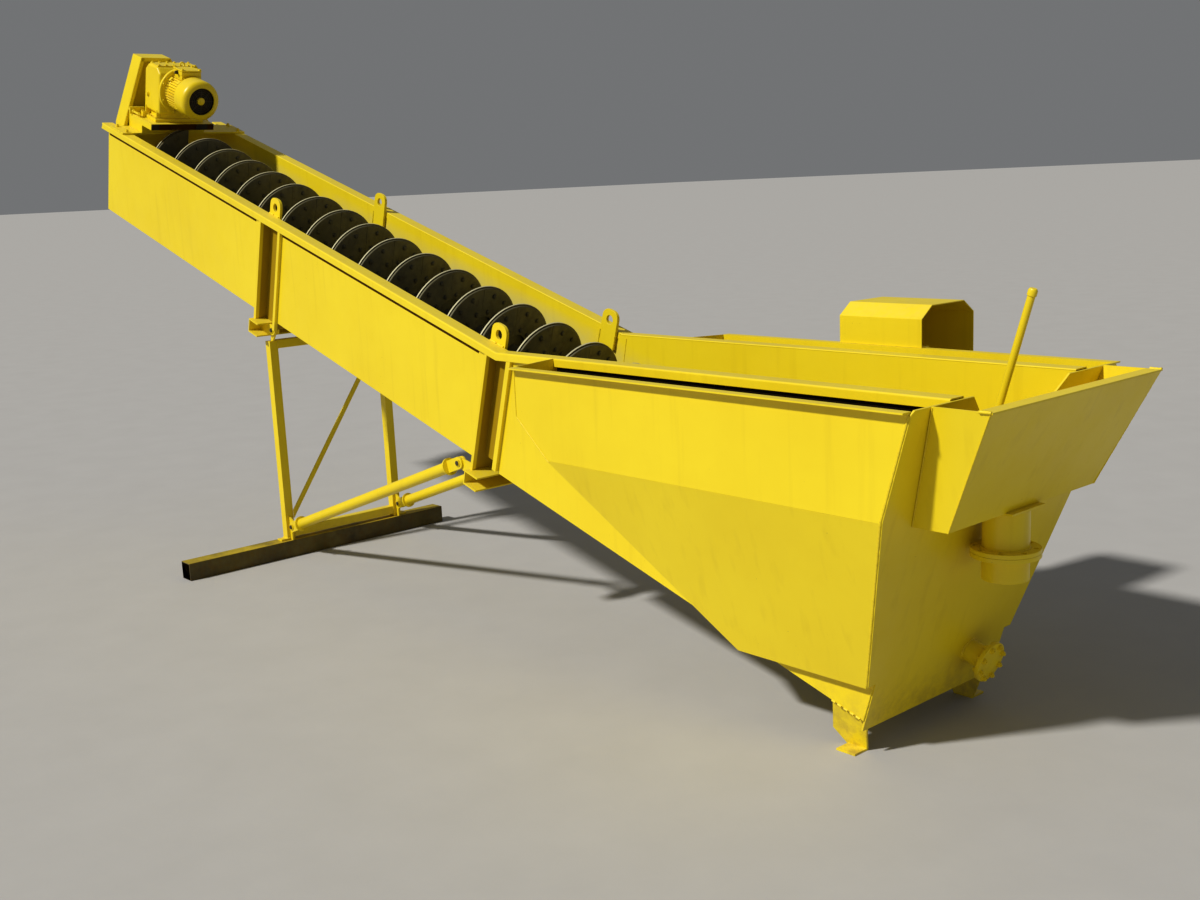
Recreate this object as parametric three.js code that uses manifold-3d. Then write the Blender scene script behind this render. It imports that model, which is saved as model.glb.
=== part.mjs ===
// Spiral sand classifier: an inclined trough with one screw, a settling tank at
// its low end, a drive at its high end, and a leg frame on a skid beam.
// Millimetres, +Z up. +X runs along the machine to the overflow end, +Y is the far side.
import * as THREE from 'three';
import { mergeVertices } from 'three/addons/utils/BufferGeometryUtils.js';
import Module from 'manifold-3d';

const wasm = await Module();
wasm.setup();

// Clearance between neighbouring pieces
const GAP = 0.3;
// Slope of the trough, and where the rims bend from the slope to the level
const SLOPE_DEG = 17;
const BEND_X = 2200;
const BEND_Z = 1350;
// Trough section
const INNER_HALF = 350;
const SHEET = 6;
const AXIS_N = -242;
const RIM_HALF = 428;
const RIM_LIP = 37;
const SKIN_HALF = 411;
const SKIN_BOTTOM = -560;
// Stations along the slope, measured from the bend
const HEAD_S = -4327;
const SKIN_HEAD_S = -4250;
const PLATE_HEAD_S = -4200;
const SPOUT_S = -3740;
const TAIL_S = 2291;
const END_PLATE = 8;
// Screw
const BLADE_R = 290;
const PITCH = 273.7;
const STEPS_PER_TURN = 20;
const BLADE_START = -3965;
const BLADE_END = 2080;
const BLADE_PLATE = 8;
const TUBE_R = 80;
const JOURNAL_R = 45;
const SHOE_INNER_R = 130;
const SHOE_PLATE = 12;
// Settling tank side chambers
const TANK_X = 400;
const TANK_HALF = 640;
const TANK_TOP = -11;
const TANK_FOLD = -390;
const TANK_FLOOR = -1060;
const TANK_FLANGE = 37;
// Overflow box and its outlet
const BOX_TOP = -8;
const BOX_FLOOR = -437;
const OUTLET_X = 2350;
const OUTLET_Y = -20;
const OUTLET_R = 82.5;
const OUTLET_BORE = 76;
const FLANGE_R = 123;
const FLANGE_Z = -600;
const STUB_Z = -700;
// Legs and skid beam
const GROUND = -1350;
const BEAM = 100;
const LEG_X = -2200;
const LEG_Y = 370;
const LEG = 50;
const LEG_TOP = -75;
const HANGER = { x: -2152, z: -10 };
const BRACE_LOW = { x: -2130, z: -1165 };
const BRACE_HIGH = { x: -410, z: -567 };
const BRACE_R = 30;
const EYE_R = 30;
const PIN_R = 12;
const PIN_HOLE_R = 13.5;
const LUG_PLATE = 10;

const slope = SLOPE_DEG * Math.PI / 180;
const COS = Math.cos(slope);
const SIN = Math.sin(slope);

function paint(name, color, metalness, roughness) {
  const material = new THREE.MeshStandardMaterial({ color, metalness, roughness });
  material.name = name;
  return material;
}

const shellPaint = paint('shell_paint', 0xe2c41e, 0.1, 0.55);
const framePaint = paint('frame_paint', 0xd9bd20, 0.1, 0.6);
const screwSteel = paint('screw_steel', 0x2c2822, 0.5, 0.7);
const shoeIron = paint('shoe_iron', 0x4a463c, 0.5, 0.65);
const drivePaint = paint('drive_paint', 0xdcbc1c, 0.1, 0.5);
const bareSteel = paint('bare_steel', 0x3a342b, 0.6, 0.7);

// Wrap a three.js geometry as a solid, and turn a solid back into flat-shaded geometry
function solid(geometry) {
  const bare = new THREE.BufferGeometry();
  bare.setAttribute('position', geometry.getAttribute('position'));
  bare.setIndex(geometry.getIndex());
  const merged = mergeVertices(bare, 1e-3);
  const vertProperties = new Float32Array(merged.getAttribute('position').array);
  const triVerts = new Uint32Array(merged.getIndex().array);
  return new wasm.Manifold(new wasm.Mesh({ numProp: 3, vertProperties, triVerts }));
}

function geometryOf(body) {
  const mesh = body.getMesh();
  const indexed = new THREE.BufferGeometry();
  indexed.setAttribute('position', new THREE.BufferAttribute(new Float32Array(mesh.vertProperties), 3));
  indexed.setIndex(new THREE.BufferAttribute(new Uint32Array(mesh.triVerts), 1));
  const geometry = indexed.toNonIndexed();
  geometry.computeVertexNormals();
  return geometry;
}

function union(parts) {
  return parts.reduce((whole, part) => whole.add(part));
}

// Prisms of an outline along each axis
function prism(outline, depth, holes = []) {
  const shape = new THREE.Shape(outline.map(([u, v]) => new THREE.Vector2(u, v)));
  for (const hole of holes) {
    shape.holes.push(new THREE.Path(hole.map(([u, v]) => new THREE.Vector2(u, v))));
  }
  return new THREE.ExtrudeGeometry(shape, { depth, bevelEnabled: false, curveSegments: 1 });
}

function placed(geometry, right, up, out, origin) {
  const matrix = new THREE.Matrix4().makeBasis(
    new THREE.Vector3(...right), new THREE.Vector3(...up), new THREE.Vector3(...out));
  matrix.setPosition(...origin);
  return solid(geometry.applyMatrix4(matrix));
}

function alongX(outlineYZ, x0, x1, holes) {
  return placed(prism(outlineYZ, x1 - x0, holes), [0, 1, 0], [0, 0, 1], [1, 0, 0], [x0, 0, 0]);
}

function alongY(outlineXZ, y0, y1, holes) {
  return placed(prism(outlineXZ, y1 - y0, holes), [1, 0, 0], [0, 0, 1], [0, -1, 0], [0, y1, 0]);
}

function alongZ(outlineXY, z0, z1, holes) {
  return placed(prism(outlineXY, z1 - z0, holes), [1, 0, 0], [0, 1, 0], [0, 0, 1], [0, 0, z0]);
}

function box(x0, x1, y0, y1, z0, z1) {
  return alongZ([[x0, y0], [x1, y0], [x1, y1], [x0, y1]], z0, z1);
}

function circle(u, v, radius, sides, turn = 0) {
  const points = [];
  for (let i = 0; i < sides; i += 1) {
    const angle = turn + i * 2 * Math.PI / sides;
    points.push([u + radius * Math.cos(angle), v + radius * Math.sin(angle)]);
  }
  return points;
}

function arc(u, v, radius, fromDeg, toDeg, steps) {
  const points = [];
  for (let i = 0; i <= steps; i += 1) {
    const angle = (fromDeg + (toDeg - fromDeg) * i / steps) * Math.PI / 180;
    points.push([u + radius * Math.cos(angle), v + radius * Math.sin(angle)]);
  }
  return points;
}

function inset(outline, distance) {
  const count = outline.length;
  const edges = outline.map(([u, v], i) => {
    const [nextU, nextV] = outline[(i + 1) % count];
    const length = Math.hypot(nextU - u, nextV - v);
    const normal = [-(nextV - v) / length, (nextU - u) / length];
    return { normal, offset: normal[0] * u + normal[1] * v + distance };
  });
  return edges.map((edge, i) => {
    const before = edges[(i + count - 1) % count];
    const det = before.normal[0] * edge.normal[1] - before.normal[1] * edge.normal[0];
    return [
      (before.offset * edge.normal[1] - edge.offset * before.normal[1]) / det,
      (before.normal[0] * edge.offset - edge.normal[0] * before.offset) / det,
    ];
  });
}

function mirrored(body) {
  return body.mirror([0, 1, 0]);
}

// Points of the sloping trough section, as x and z of the level frame
function at(s, n) {
  return [s * COS + n * SIN, -s * SIN + n * COS];
}

function bendPoint(depth) {
  return at(depth * Math.tan(slope / 2), -depth);
}

function tailPoint(depth) {
  return at(TAIL_S - GAP, (-depth + (TAIL_S - GAP) * SIN) / COS);
}

function beforeTail(body) {
  return body.trimByPlane([-COS, 0, SIN], -(TAIL_S - GAP));
}

function afterTail(body) {
  return body.trimByPlane([COS, 0, -SIN], TAIL_S + END_PLATE + GAP);
}

// Groups: the level frame, the sloping frame inside it, and the drive on the slope
const root = new THREE.Group();
root.name = 'spiral_classifier';
const level = new THREE.Group();
level.position.set(BEND_X, 0, BEND_Z);
root.add(level);
const tilted = new THREE.Group();
tilted.rotation.y = slope;
level.add(tilted);
const screwLine = new THREE.Group();
screwLine.position.set(0, 0, AXIS_N);
tilted.add(screwLine);

function addNode(name, body, material, parent = level) {
  const mesh = new THREE.Mesh(geometryOf(body), material);
  mesh.name = name;
  parent.add(mesh);
  return mesh;
}

// Rims: a flat strip over both side sheets with a turned-down lip
const lipCut = 92;
function rim() {
  const strip = alongY(
    [at(HEAD_S, 0), at(0, 0), tailPoint(0), tailPoint(SHEET), bendPoint(SHEET), at(HEAD_S + 14, -SHEET)],
    -RIM_HALF, -INNER_HALF);
  const lip = alongY(
    [at(HEAD_S, 0), at(0, 0), tailPoint(0), tailPoint(RIM_LIP), bendPoint(RIM_LIP), at(HEAD_S + lipCut, -RIM_LIP)],
    -RIM_HALF, -RIM_HALF + SHEET);
  return strip.add(lip);
}

// The space that the rims keep: everything over the strip, and over the lip's foot outboard
function underRim(body) {
  const high = 900;
  const over = (depth) => [
    at(-5200, -depth), bendPoint(depth), at(TAIL_S + 400, (TAIL_S + 400) * Math.tan(slope) - depth / COS),
    [3600, high], [-4600, high + 1800],
  ];
  const strip = alongY(over(SHEET + GAP), -900, 900);
  const lip = alongY(over(RIM_LIP + GAP), -900, -(RIM_HALF - SHEET - GAP));
  return body.subtract(strip).subtract(lip);
}

addNode('near_rim', rim(), shellPaint);
addNode('far_rim', mirrored(rim()), shellPaint);

// Inner walls down to the half-round bottom
const innerWall = alongY(
  [at(PLATE_HEAD_S + END_PLATE + GAP, AXIS_N), at(TAIL_S - GAP, AXIS_N), tailPoint(SHEET + GAP),
    bendPoint(SHEET + GAP), at(PLATE_HEAD_S + END_PLATE + GAP, -SHEET - GAP)],
  -INNER_HALF - SHEET, -INNER_HALF);
addNode('near_inner_wall', innerWall, shellPaint);
addNode('far_inner_wall', mirrored(innerWall), shellPaint);

const bottomSteps = 12;
addNode('trough_bottom', alongX(
  [...arc(0, AXIS_N - GAP, INNER_HALF + SHEET, 180, 360, bottomSteps),
    ...arc(0, AXIS_N - GAP, INNER_HALF, 360, 180, bottomSteps)],
  SPOUT_S, TAIL_S - GAP), shellPaint, tilted);

// Outer side sheets with their rib channels, which open outward
const skinTop = 720;
const skinFlange = 90;
const ribs = [
  { from: -2171, to: -1982, leftStrip: 24, strip: 24, bottom: -606, lowRight: -606 },
  { from: -60, to: 80, leftStrip: 18, strip: 28, bottom: -617.7, lowRight: -550 },
];
function tiltedPlate(s0, s1, n0, n1, y0, y1) {
  return alongY([at(s0, n0), at(s1, n0), at(s1, n1), at(s0, n1)], y0, y1);
}

function ribWeb(s0, s1, bottom) {
  const saddle = arc(0, AXIS_N, INNER_HALF + SHEET + 4, 180, 236, 4);
  const outline = [
    ...saddle, [-200, bottom], [-SKIN_HALF, bottom], [-SKIN_HALF, skinTop],
    [-INNER_HALF - SHEET - GAP, skinTop], [-INNER_HALF - SHEET - GAP, AXIS_N + 12],
  ];
  return placed(prism(outline, s1 - s0), [0, 1, 0], [SIN, 0, COS], [COS, 0, -SIN], [s0 * COS, 0, -s0 * SIN]);
}

function skinSheet(s0, s1) {
  return underRim(union([
    tiltedPlate(s0, s1, SKIN_BOTTOM, skinTop, -SKIN_HALF, -SKIN_HALF + SHEET),
    tiltedPlate(s0, s1, SKIN_BOTTOM, SKIN_BOTTOM + SHEET, -SKIN_HALF, -SKIN_HALF + skinFlange),
  ]));
}

function ribChannel(rib) {
  return underRim(union([
    tiltedPlate(rib.from - rib.leftStrip, rib.from, rib.bottom, skinTop, -RIM_HALF, -SKIN_HALF + SHEET),
    tiltedPlate(rib.to, rib.to + rib.strip, rib.lowRight, skinTop, -RIM_HALF, -SKIN_HALF + SHEET),
    ribWeb(rib.from - END_PLATE, rib.from, rib.bottom),
    ribWeb(rib.to, rib.to + END_PLATE, rib.lowRight),
    tiltedPlate(rib.from - 1, rib.to + 1, rib.lowRight, skinTop,
      -INNER_HALF - 2 * SHEET - GAP, -INNER_HALF - SHEET - GAP),
  ]));
}

const [upperRib, bendRib] = ribs;
const sideSheets = {
  head_panel: skinSheet(SKIN_HEAD_S, upperRib.from - upperRib.leftStrip - GAP),
  middle_panel: skinSheet(upperRib.to + upperRib.strip + GAP, bendRib.from - bendRib.leftStrip - GAP),
  tank_panel: skinSheet(bendRib.to + bendRib.strip + GAP, TAIL_S - GAP),
  upper_rib: ribChannel(upperRib),
  bend_rib: ribChannel(bendRib),
};
for (const [name, body] of Object.entries(sideSheets)) {
  addNode(`near_${name}`, body, shellPaint);
  addNode(`far_${name}`, mirrored(body), shellPaint);
}

// Cross-members under the ribs, open downhill
function channelAcross(s0, top, bottom, reach) {
  const plate = 8;
  return union([
    tiltedPlate(s0, s0 + plate, bottom, top, -reach, reach),
    tiltedPlate(s0, s0 + 100, top - plate, top, -reach, reach),
    tiltedPlate(s0, s0 + 100, bottom, bottom + plate, -reach, reach),
  ]);
}

const channelReach = 460;
const upperTop = -606 - GAP;
const hangerPlates = [-LEG_Y - 15.3, -LEG_Y + 5.3, LEG_Y - 15.3, LEG_Y + 5.3];
function hangerOutline() {
  const head = arc(HANGER.x, HANGER.z, EYE_R, -90, 90, 6);
  return [at(-2184, -680), at(-2090, -680), ...head, at(-2092, -613), at(-2184, -613)];
}

const upperMember = union([
  channelAcross(-2190, upperTop, -686, channelReach),
  ...hangerPlates.map((y) => alongY(hangerOutline(), y, y + LUG_PLATE)),
  ...[-LEG_Y, LEG_Y].map((y) => alongY(circle(HANGER.x, HANGER.z, PIN_R, 16), y - 20, y + 20)),
]);
addNode('upper_crossmember', upperMember, framePaint);

function braceBracket(y) {
  const hole = circle(BRACE_HIGH.x, BRACE_HIGH.z, PIN_HOLE_R, 16);
  const [rootX, rootZ] = at(-72, -622);
  const [lowX, lowZ] = at(-72, -688);
  const head = arc(BRACE_HIGH.x, BRACE_HIGH.z, EYE_R, 110, 270, 8);
  return alongY([[lowX, lowZ], [rootX, rootZ], ...head], y - LUG_PLATE / 2, y + LUG_PLATE / 2, [hole]);
}

const bendMember = union([
  channelAcross(-78, -618, -690, channelReach),
  braceBracket(-LEG_Y),
  braceBracket(LEG_Y),
]);
addNode('bend_crossmember', bendMember, framePaint);

// Lifting lugs on the inner walls
const lugHalf = 55;
const lugPlate = 16;
const lugTop = 96;
const lugEye = { n: 45, r: 23 };
function liftingLug(s, side) {
  const outline = [
    [s - lugHalf, -97], [s + lugHalf, -97], [s + lugHalf, lugTop - 40],
    ...arc(s + lugHalf - 40, lugTop - 40, 40, 0, 90, 4).slice(1),
    ...arc(s - lugHalf + 40, lugTop - 40, 40, 90, 180, 4).slice(0, -1),
    [s - lugHalf, lugTop - 40],
  ];
  const body = alongY(outline, INNER_HALF - GAP - lugPlate, INNER_HALF - GAP, [circle(s, lugEye.n, lugEye.r, 16)]);
  return side < 0 ? mirrored(body) : body;
}

addNode('near_upper_lug', liftingLug(-2160, -1), shellPaint, tilted);
addNode('far_upper_lug', liftingLug(-2160, 1), shellPaint, tilted);
addNode('near_bend_lug', liftingLug(-88, -1), shellPaint, tilted);
addNode('far_bend_lug', liftingLug(-88, 1), shellPaint, tilted);

// Upper end plate and the bearing behind it
const endPlateHalf = SKIN_HALF - SHEET - GAP;
const boreR = JOURNAL_R + 1;
addNode('upper_end_plate', alongX(
  [[-endPlateHalf, -545], [endPlateHalf, -545], [endPlateHalf, -SHEET - GAP], [-endPlateHalf, -SHEET - GAP]],
  PLATE_HEAD_S, PLATE_HEAD_S + END_PLATE, [circle(0, AXIS_N, boreR, 24)]), shellPaint, tilted);

const bearingFrom = PLATE_HEAD_S + END_PLATE + GAP;
const bearingSquare = 120;
const topBearing = alongX(
  [[-bearingSquare, AXIS_N - bearingSquare], [bearingSquare, AXIS_N - bearingSquare],
    [bearingSquare, AXIS_N + bearingSquare], [-bearingSquare, AXIS_N + bearingSquare]],
  bearingFrom, bearingFrom + 20, [circle(0, AXIS_N, boreR, 24)])
  .add(alongX(circle(0, AXIS_N, 88, 24), bearingFrom + 19, bearingFrom + 68, [circle(0, AXIS_N, boreR, 24)]));
addNode('top_bearing', topBearing, drivePaint, tilted);

// Drive: bridge plate over the rims, open base, gearbox, motor and chain guard
const bridgeTop = 12;
addNode('drive_bridge', alongZ(
  [[-4190, -RIM_HALF], [-3995, -RIM_HALF], [-3995, RIM_HALF], [-4190, RIM_HALF]], GAP, bridgeTop),
framePaint, tilted);

const baseTop = 100;
const baseOutline = [
  [-4190, bridgeTop + GAP], [-3995, bridgeTop + GAP], [-3995, 60], [-3860, 60], [-3860, baseTop], [-4190, baseTop],
];
const driveBase = alongY(baseOutline, -300, 130)
  .subtract(alongY([[-4182, 0], [-4003, 0], [-4003, 88], [-4182, 88]], -292, 122))
  .subtract(alongY([[-3987, 0], [-3868, 0], [-3868, 88], [-3987, 88]], -292, 122));
addNode('drive_base', driveBase, framePaint, tilted);

const drive = new THREE.Group();
drive.position.set(-3905, -85, 300);
tilted.add(drive);

const gearFoot = baseTop + GAP - 300;
const gearProfile = [
  [-215, -150], [-GAP, -150], [-GAP, 110], [-45, 150], [-170, 150], [-215, 110],
];
const gearbox = union([
  alongY(gearProfile, -145, 145),
  box(-215, -GAP, -120, 120, -190, -149),
  box(-235, -GAP, -165, 165, gearFoot, -180),
  alongX(circle(0, 0, 95, 24), -240, -214),
  alongX(circle(0, 0, 30, 20), -294, -239),
]);
addNode('gearbox', gearbox, drivePaint, drive);

const motorR = 124;
const motor = union([
  alongX(circle(0, 0, 150, 24), 0, 20),
  alongX(circle(0, 0, motorR, 24), 19, 165 - GAP),
]);
addNode('motor', motor, drivePaint, drive);

addNode('fan_cowl', alongX(circle(0, 0, 126, 24), 165, 292)
  .add(alongX(circle(0, 0, 117, 24), 291, 300)), drivePaint, drive);

addNode('terminal_box', box(25, 145, -65, 65, motorR + GAP, 162), drivePaint, drive);

const guardOutline = [
  [-330, 10], [-330, -400], [-230, -545], [230, -545], [330, -400], [330, -60], [-20, 450], [-218, 450],
];
const guardSheet = 4;
const guardBack = PLATE_HEAD_S - GAP;
const chainGuard = alongX(guardOutline, -4330, guardBack)
  .subtract(alongX(inset(guardOutline, guardSheet), -4330 + guardSheet, guardBack + 10));
addNode('chain_guard', chainGuard, framePaint, tilted);

// Screw: tube with journals, helical blade, and the wear band on its downhill face
const screwTube = union([
  alongX(circle(0, 0, TUBE_R, STEPS_PER_TURN), -4095, 2150),
  alongX(circle(0, 0, JOURNAL_R, STEPS_PER_TURN), -4198, -4094),
  alongX(circle(0, 0, JOURNAL_R, STEPS_PER_TURN), 2149, 2282),
]);
addNode('screw_shaft', screwTube, screwSteel, screwLine);

function helix(radii, start, end, shift, thickness) {
  const steps = Math.round((end - start) / PITCH * STEPS_PER_TURN);
  const positions = [];
  for (let i = 0; i <= steps; i += 1) {
    const angle = -i * 2 * Math.PI / STEPS_PER_TURN;
    const s = start + i * PITCH / STEPS_PER_TURN + shift;
    for (const face of [0, thickness]) {
      for (const radius of radii) {
        positions.push(s + face, radius * Math.sin(angle), radius * Math.cos(angle));
      }
    }
  }
  const rings = radii.length;
  const ring = 2 * rings;
  const index = [];
  const quad = (a, b, c, d) => index.push(a, c, b, a, d, c);
  for (let i = 0; i < steps; i += 1) {
    const here = i * ring;
    const next = here + ring;
    for (let k = 0; k < rings - 1; k += 1) {
      quad(here + k, here + k + 1, next + k + 1, next + k);
      quad(next + rings + k + 1, here + rings + k + 1, here + rings + k, next + rings + k);
    }
    quad(here, next, next + rings, here + rings);
    quad(here + rings - 1, here + ring - 1, next + ring - 1, next + rings - 1);
  }
  const last = steps * ring;
  for (let k = 0; k < rings - 1; k += 1) {
    quad(k, rings + k, rings + k + 1, k + 1);
    quad(last + k, last + k + 1, last + rings + k + 1, last + rings + k);
  }
  const geometry = new THREE.BufferGeometry();
  geometry.setAttribute('position', new THREE.BufferAttribute(new Float32Array(positions), 3));
  geometry.setIndex(index);
  return geometry;
}

const blade = helix([TUBE_R + 0.5, SHOE_INNER_R, BLADE_R], BLADE_START, BLADE_END, -BLADE_PLATE / 2, BLADE_PLATE);
addNode('screw_flight', solid(blade), screwSteel, screwLine);
const band = helix([SHOE_INNER_R, BLADE_R], BLADE_START, BLADE_END, BLADE_PLATE / 2 + GAP, SHOE_PLATE);
addNode('wear_shoes', solid(band), shoeIron, screwLine);

// Tail bearing inside the end wall and the pipe that stands on it
const tailFrom = 2188;
const tailHalf = 90;
const tailBearing = alongX(
  [[-tailHalf, AXIS_N - 100], [tailHalf, AXIS_N - 100], [tailHalf, AXIS_N + tailHalf],
    [-tailHalf, AXIS_N + tailHalf]], tailFrom, TAIL_S - GAP)
  .subtract(alongX(circle(0, AXIS_N, boreR, 24), tailFrom - 10, 2284));
addNode('tail_bearing', tailBearing, drivePaint, tilted);

const rodBottom = AXIS_N + tailHalf + GAP;
addNode('grease_pipe', alongZ(circle(2231, 0, 13.5, 12), rodBottom, 1015), shellPaint, tilted);

// End wall with its weir notch
const weirHalf = 300;
const weirDepth = 115;
addNode('end_wall', alongX([
  [-SKIN_HALF, -600], [SKIN_HALF, -600], [SKIN_HALF, -398], [454, -398], [640, 300], [640, 680], [625, 693],
  [weirHalf, 693], [weirHalf - weirDepth, 693 - weirDepth], [-weirHalf + weirDepth, 693 - weirDepth],
  [-weirHalf, 693], [-625, 693], [-640, 680], [-640, 300], [-454, -398], [-SKIN_HALF, -398],
], TAIL_S, TAIL_S + END_PLATE), shellPaint, tilted);

// Side chambers of the settling tank: outer plate, sloping plate, ledge and slanted closure
function chamber(depth, openEnds) {
  const far = openEnds ? -300 : -SKIN_HALF - GAP;
  const top = openEnds ? 100 : TANK_TOP;
  let body = box(TANK_X + depth, 2600, -TANK_HALF + depth, far, TANK_FLOOR + depth, top);
  const planes = [
    { p: [TANK_X, 0, -222], n: [178, 0, 200] },
    { p: [600, 0, -400], n: [663, 0, 867] },
    { p: [0, -TANK_HALF, TANK_FOLD], n: [0, 670, 187] },
  ];
  for (const plane of planes) {
    const length = Math.hypot(...plane.n);
    const normal = plane.n.map((value) => value / length);
    const offset = normal.reduce((sum, value, i) => sum + value * plane.p[i], depth);
    body = body.trimByPlane(normal, offset);
  }
  return openEnds ? body : beforeTail(body);
}

const rimClear = box(300, 2700, -RIM_HALF - GAP, -300, -RIM_LIP - GAP, 300);
const outerFlange = beforeTail(box(TANK_X, 2600, -TANK_HALF - TANK_FLANGE, -TANK_HALF + 2, TANK_TOP - SHEET, TANK_TOP));
const endPeak = alongX(
  [[-TANK_HALF, TANK_TOP - 20], [-RIM_HALF - GAP, TANK_TOP - 20], [-RIM_HALF - GAP, -1], [-TANK_HALF, TANK_TOP]],
  TANK_X, TANK_X + SHEET);
const chamberShell = chamber(0, false).subtract(chamber(SHEET, true)).add(outerFlange).add(endPeak)
  .subtract(rimClear);
const chamberSide = chamberShell.trimByPlane([0, 0, 1], TANK_FOLD + GAP / 2);
const chamberBottom = chamberShell.trimByPlane([0, 0, -1], -(TANK_FOLD - GAP / 2));
addNode('near_tank_side', chamberSide, shellPaint);
addNode('far_tank_side', mirrored(chamberSide), shellPaint);
addNode('near_tank_bottom', chamberBottom, shellPaint);
addNode('far_tank_bottom', mirrored(chamberBottom), shellPaint);

// Overflow box outside the end wall
function boxBody(depth) {
  let body = box(2150, 2800, -700, 700, BOX_FLOOR + depth, depth > 0 ? 100 : BOX_TOP);
  const planes = [
    { p: [0, -540, -10], n: [0, 427, 78] },
    { p: [0, 540, -10], n: [0, -427, 78] },
    { p: [2412, 0, -437], n: [-413, 0, 200] },
  ];
  for (const plane of planes) {
    const length = Math.hypot(...plane.n);
    const normal = plane.n.map((value) => value / length);
    const offset = normal.reduce((sum, value, i) => sum + value * plane.p[i], depth);
    body = body.trimByPlane(normal, offset);
  }
  return body;
}

const foldedRim = box(2563, 2621, -540, 540, BOX_TOP - SHEET, BOX_TOP);
const boxFoot = box(2200, 2440, OUTLET_Y - 105, OUTLET_Y + 105, BOX_FLOOR - SHEET, BOX_FLOOR + 1);
const floorHole = alongZ(circle(2342, OUTLET_Y, 62, 24), BOX_FLOOR - 20, BOX_FLOOR + SHEET + 1);
const overflowBox = afterTail(boxBody(0).subtract(boxBody(SHEET)).add(foldedRim).add(boxFoot).subtract(floorHole));
addNode('overflow_box', overflowBox, shellPaint);

const pipeTop = BOX_FLOOR - SHEET - GAP;
const outletBoreHole = [circle(OUTLET_X, OUTLET_Y, OUTLET_BORE, 24)];
const outletPipe = alongZ(circle(OUTLET_X, OUTLET_Y, OUTLET_R, 24), FLANGE_Z + GAP, pipeTop, outletBoreHole)
  .add(alongZ(circle(OUTLET_X, OUTLET_Y, FLANGE_R, 24), FLANGE_Z + GAP, FLANGE_Z + 16, outletBoreHole));
addNode('outlet_pipe', afterTail(outletPipe), shellPaint);

const outletStub = alongZ(circle(OUTLET_X, OUTLET_Y, OUTLET_R, 24), STUB_Z, FLANGE_Z - GAP, outletBoreHole)
  .add(alongZ(circle(OUTLET_X, OUTLET_Y, FLANGE_R, 24), FLANGE_Z - 16, FLANGE_Z - GAP, outletBoreHole));
addNode('outlet_stub', outletStub, shellPaint);

const drainY = 180;
const drainN = -430;
const drainFrom = TAIL_S + END_PLATE + GAP;
const drain = alongX(circle(drainY, drainN, 44.5, 20), drainFrom, 2390)
  .add(alongX(circle(drainY, drainN, 82.5, 24), 2385, 2401));
addNode('drain_branch', drain, shellPaint, tilted);

// Feet under the tank: leaning plates with a lip on the ground
const footLean = 59 / 187;
function foot() {
  const outline = [
    at(2140, SKIN_BOTTOM - GAP), [1850, -1290], [1905, GROUND], [1990, GROUND],
    at(2288, SKIN_BOTTOM - GAP),
  ].reverse();
  const plate = prism(outline, 10);
  const topZ = -1163;
  const matrix = new THREE.Matrix4().set(
    1, 0, 0, 0,
    0, -footLean, -1, -394 + footLean * topZ,
    0, 1, 0, 0,
    0, 0, 0, 1);
  const leaning = solid(plate.applyMatrix4(matrix));
  return leaning.add(box(1905, 1990, -415, -336, GROUND, GROUND + 8));
}

addNode('near_foot', foot(), shellPaint);
addNode('far_foot', mirrored(foot()), shellPaint);

// Leg frame: posts with foot plates and pin lugs, cross bars and one diagonal
const beamTop = GROUND + BEAM;
const half = LEG / 2;
const lugFoot = beamTop + GAP;
function post(reach) {
  const y = -LEG_Y;
  const head = arc(HANGER.x, HANGER.z, EYE_R, 0, 180, 8);
  const topLug = alongY([[-2200, -80], [-2178, -80], ...head], y - LUG_PLATE / 2, y + LUG_PLATE / 2,
    [circle(HANGER.x, HANGER.z, PIN_HOLE_R, 16)]);
  const lowHead = arc(BRACE_LOW.x, BRACE_LOW.z, EYE_R, -90, 90, 8);
  const lowLug = alongY([[-2180, lugFoot], [-2152, lugFoot], [-2152, -1205], ...lowHead, [-2180, -1110]],
    y - LUG_PLATE / 2, y + LUG_PLATE / 2, [circle(BRACE_LOW.x, BRACE_LOW.z, PIN_HOLE_R, 16)]);
  return union([
    box(LEG_X - half, LEG_X + half, y - half, y + half, beamTop + GAP + 5, LEG_TOP),
    box(LEG_X - half, LEG_X + half, y - half - reach, y + half, beamTop + GAP, beamTop + GAP + 10),
    topLug,
    lowLug,
  ]);
}

addNode('near_post', post(40), framePaint);
addNode('far_post', mirrored(post(40)), framePaint);

const barHalf = LEG_Y - half - GAP;
addNode('top_bar', box(LEG_X - half, LEG_X + half, -barHalf, barHalf, -121, -71), framePaint);
addNode('bottom_bar', box(LEG_X - half, LEG_X + half, -barHalf, barHalf, beamTop + 14, beamTop + 64), framePaint);
const flatFrom = LEG_X + half + GAP;
addNode('diagonal_brace', alongX([[-345, -1125], [-345, -1075], [345, -85], [345, -135]], flatFrom, flatFrom + 8),
  framePaint);

// Pipe braces, pinned at both ends
const braceRun = BRACE_HIGH.x - BRACE_LOW.x;
const braceRise = BRACE_HIGH.z - BRACE_LOW.z;
const braceLength = Math.hypot(braceRun, braceRise);
function pipeBrace() {
  const fork = (x, direction) => {
    const plates = [-15.3, 5.3].map((y) => alongY(
      direction > 0
        ? [...arc(x, 0, EYE_R, 90, 270, 8), [x + 100, -EYE_R], [x + 100, EYE_R]]
        : [...arc(x, 0, EYE_R, -90, 90, 8), [x - 100, EYE_R], [x - 100, -EYE_R]],
      y, y + LUG_PLATE));
    return union([...plates, alongY(circle(x, 0, PIN_R, 16), -22, 22)]);
  };
  return union([
    fork(0, 1),
    fork(braceLength, -1),
    alongX(circle(0, 0, 44, 20), 94, 104),
    alongX(circle(0, 0, 44, 20), braceLength - 104, braceLength - 94),
    alongX(circle(0, 0, BRACE_R, 16), 100, braceLength - 100),
  ]);
}

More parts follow.
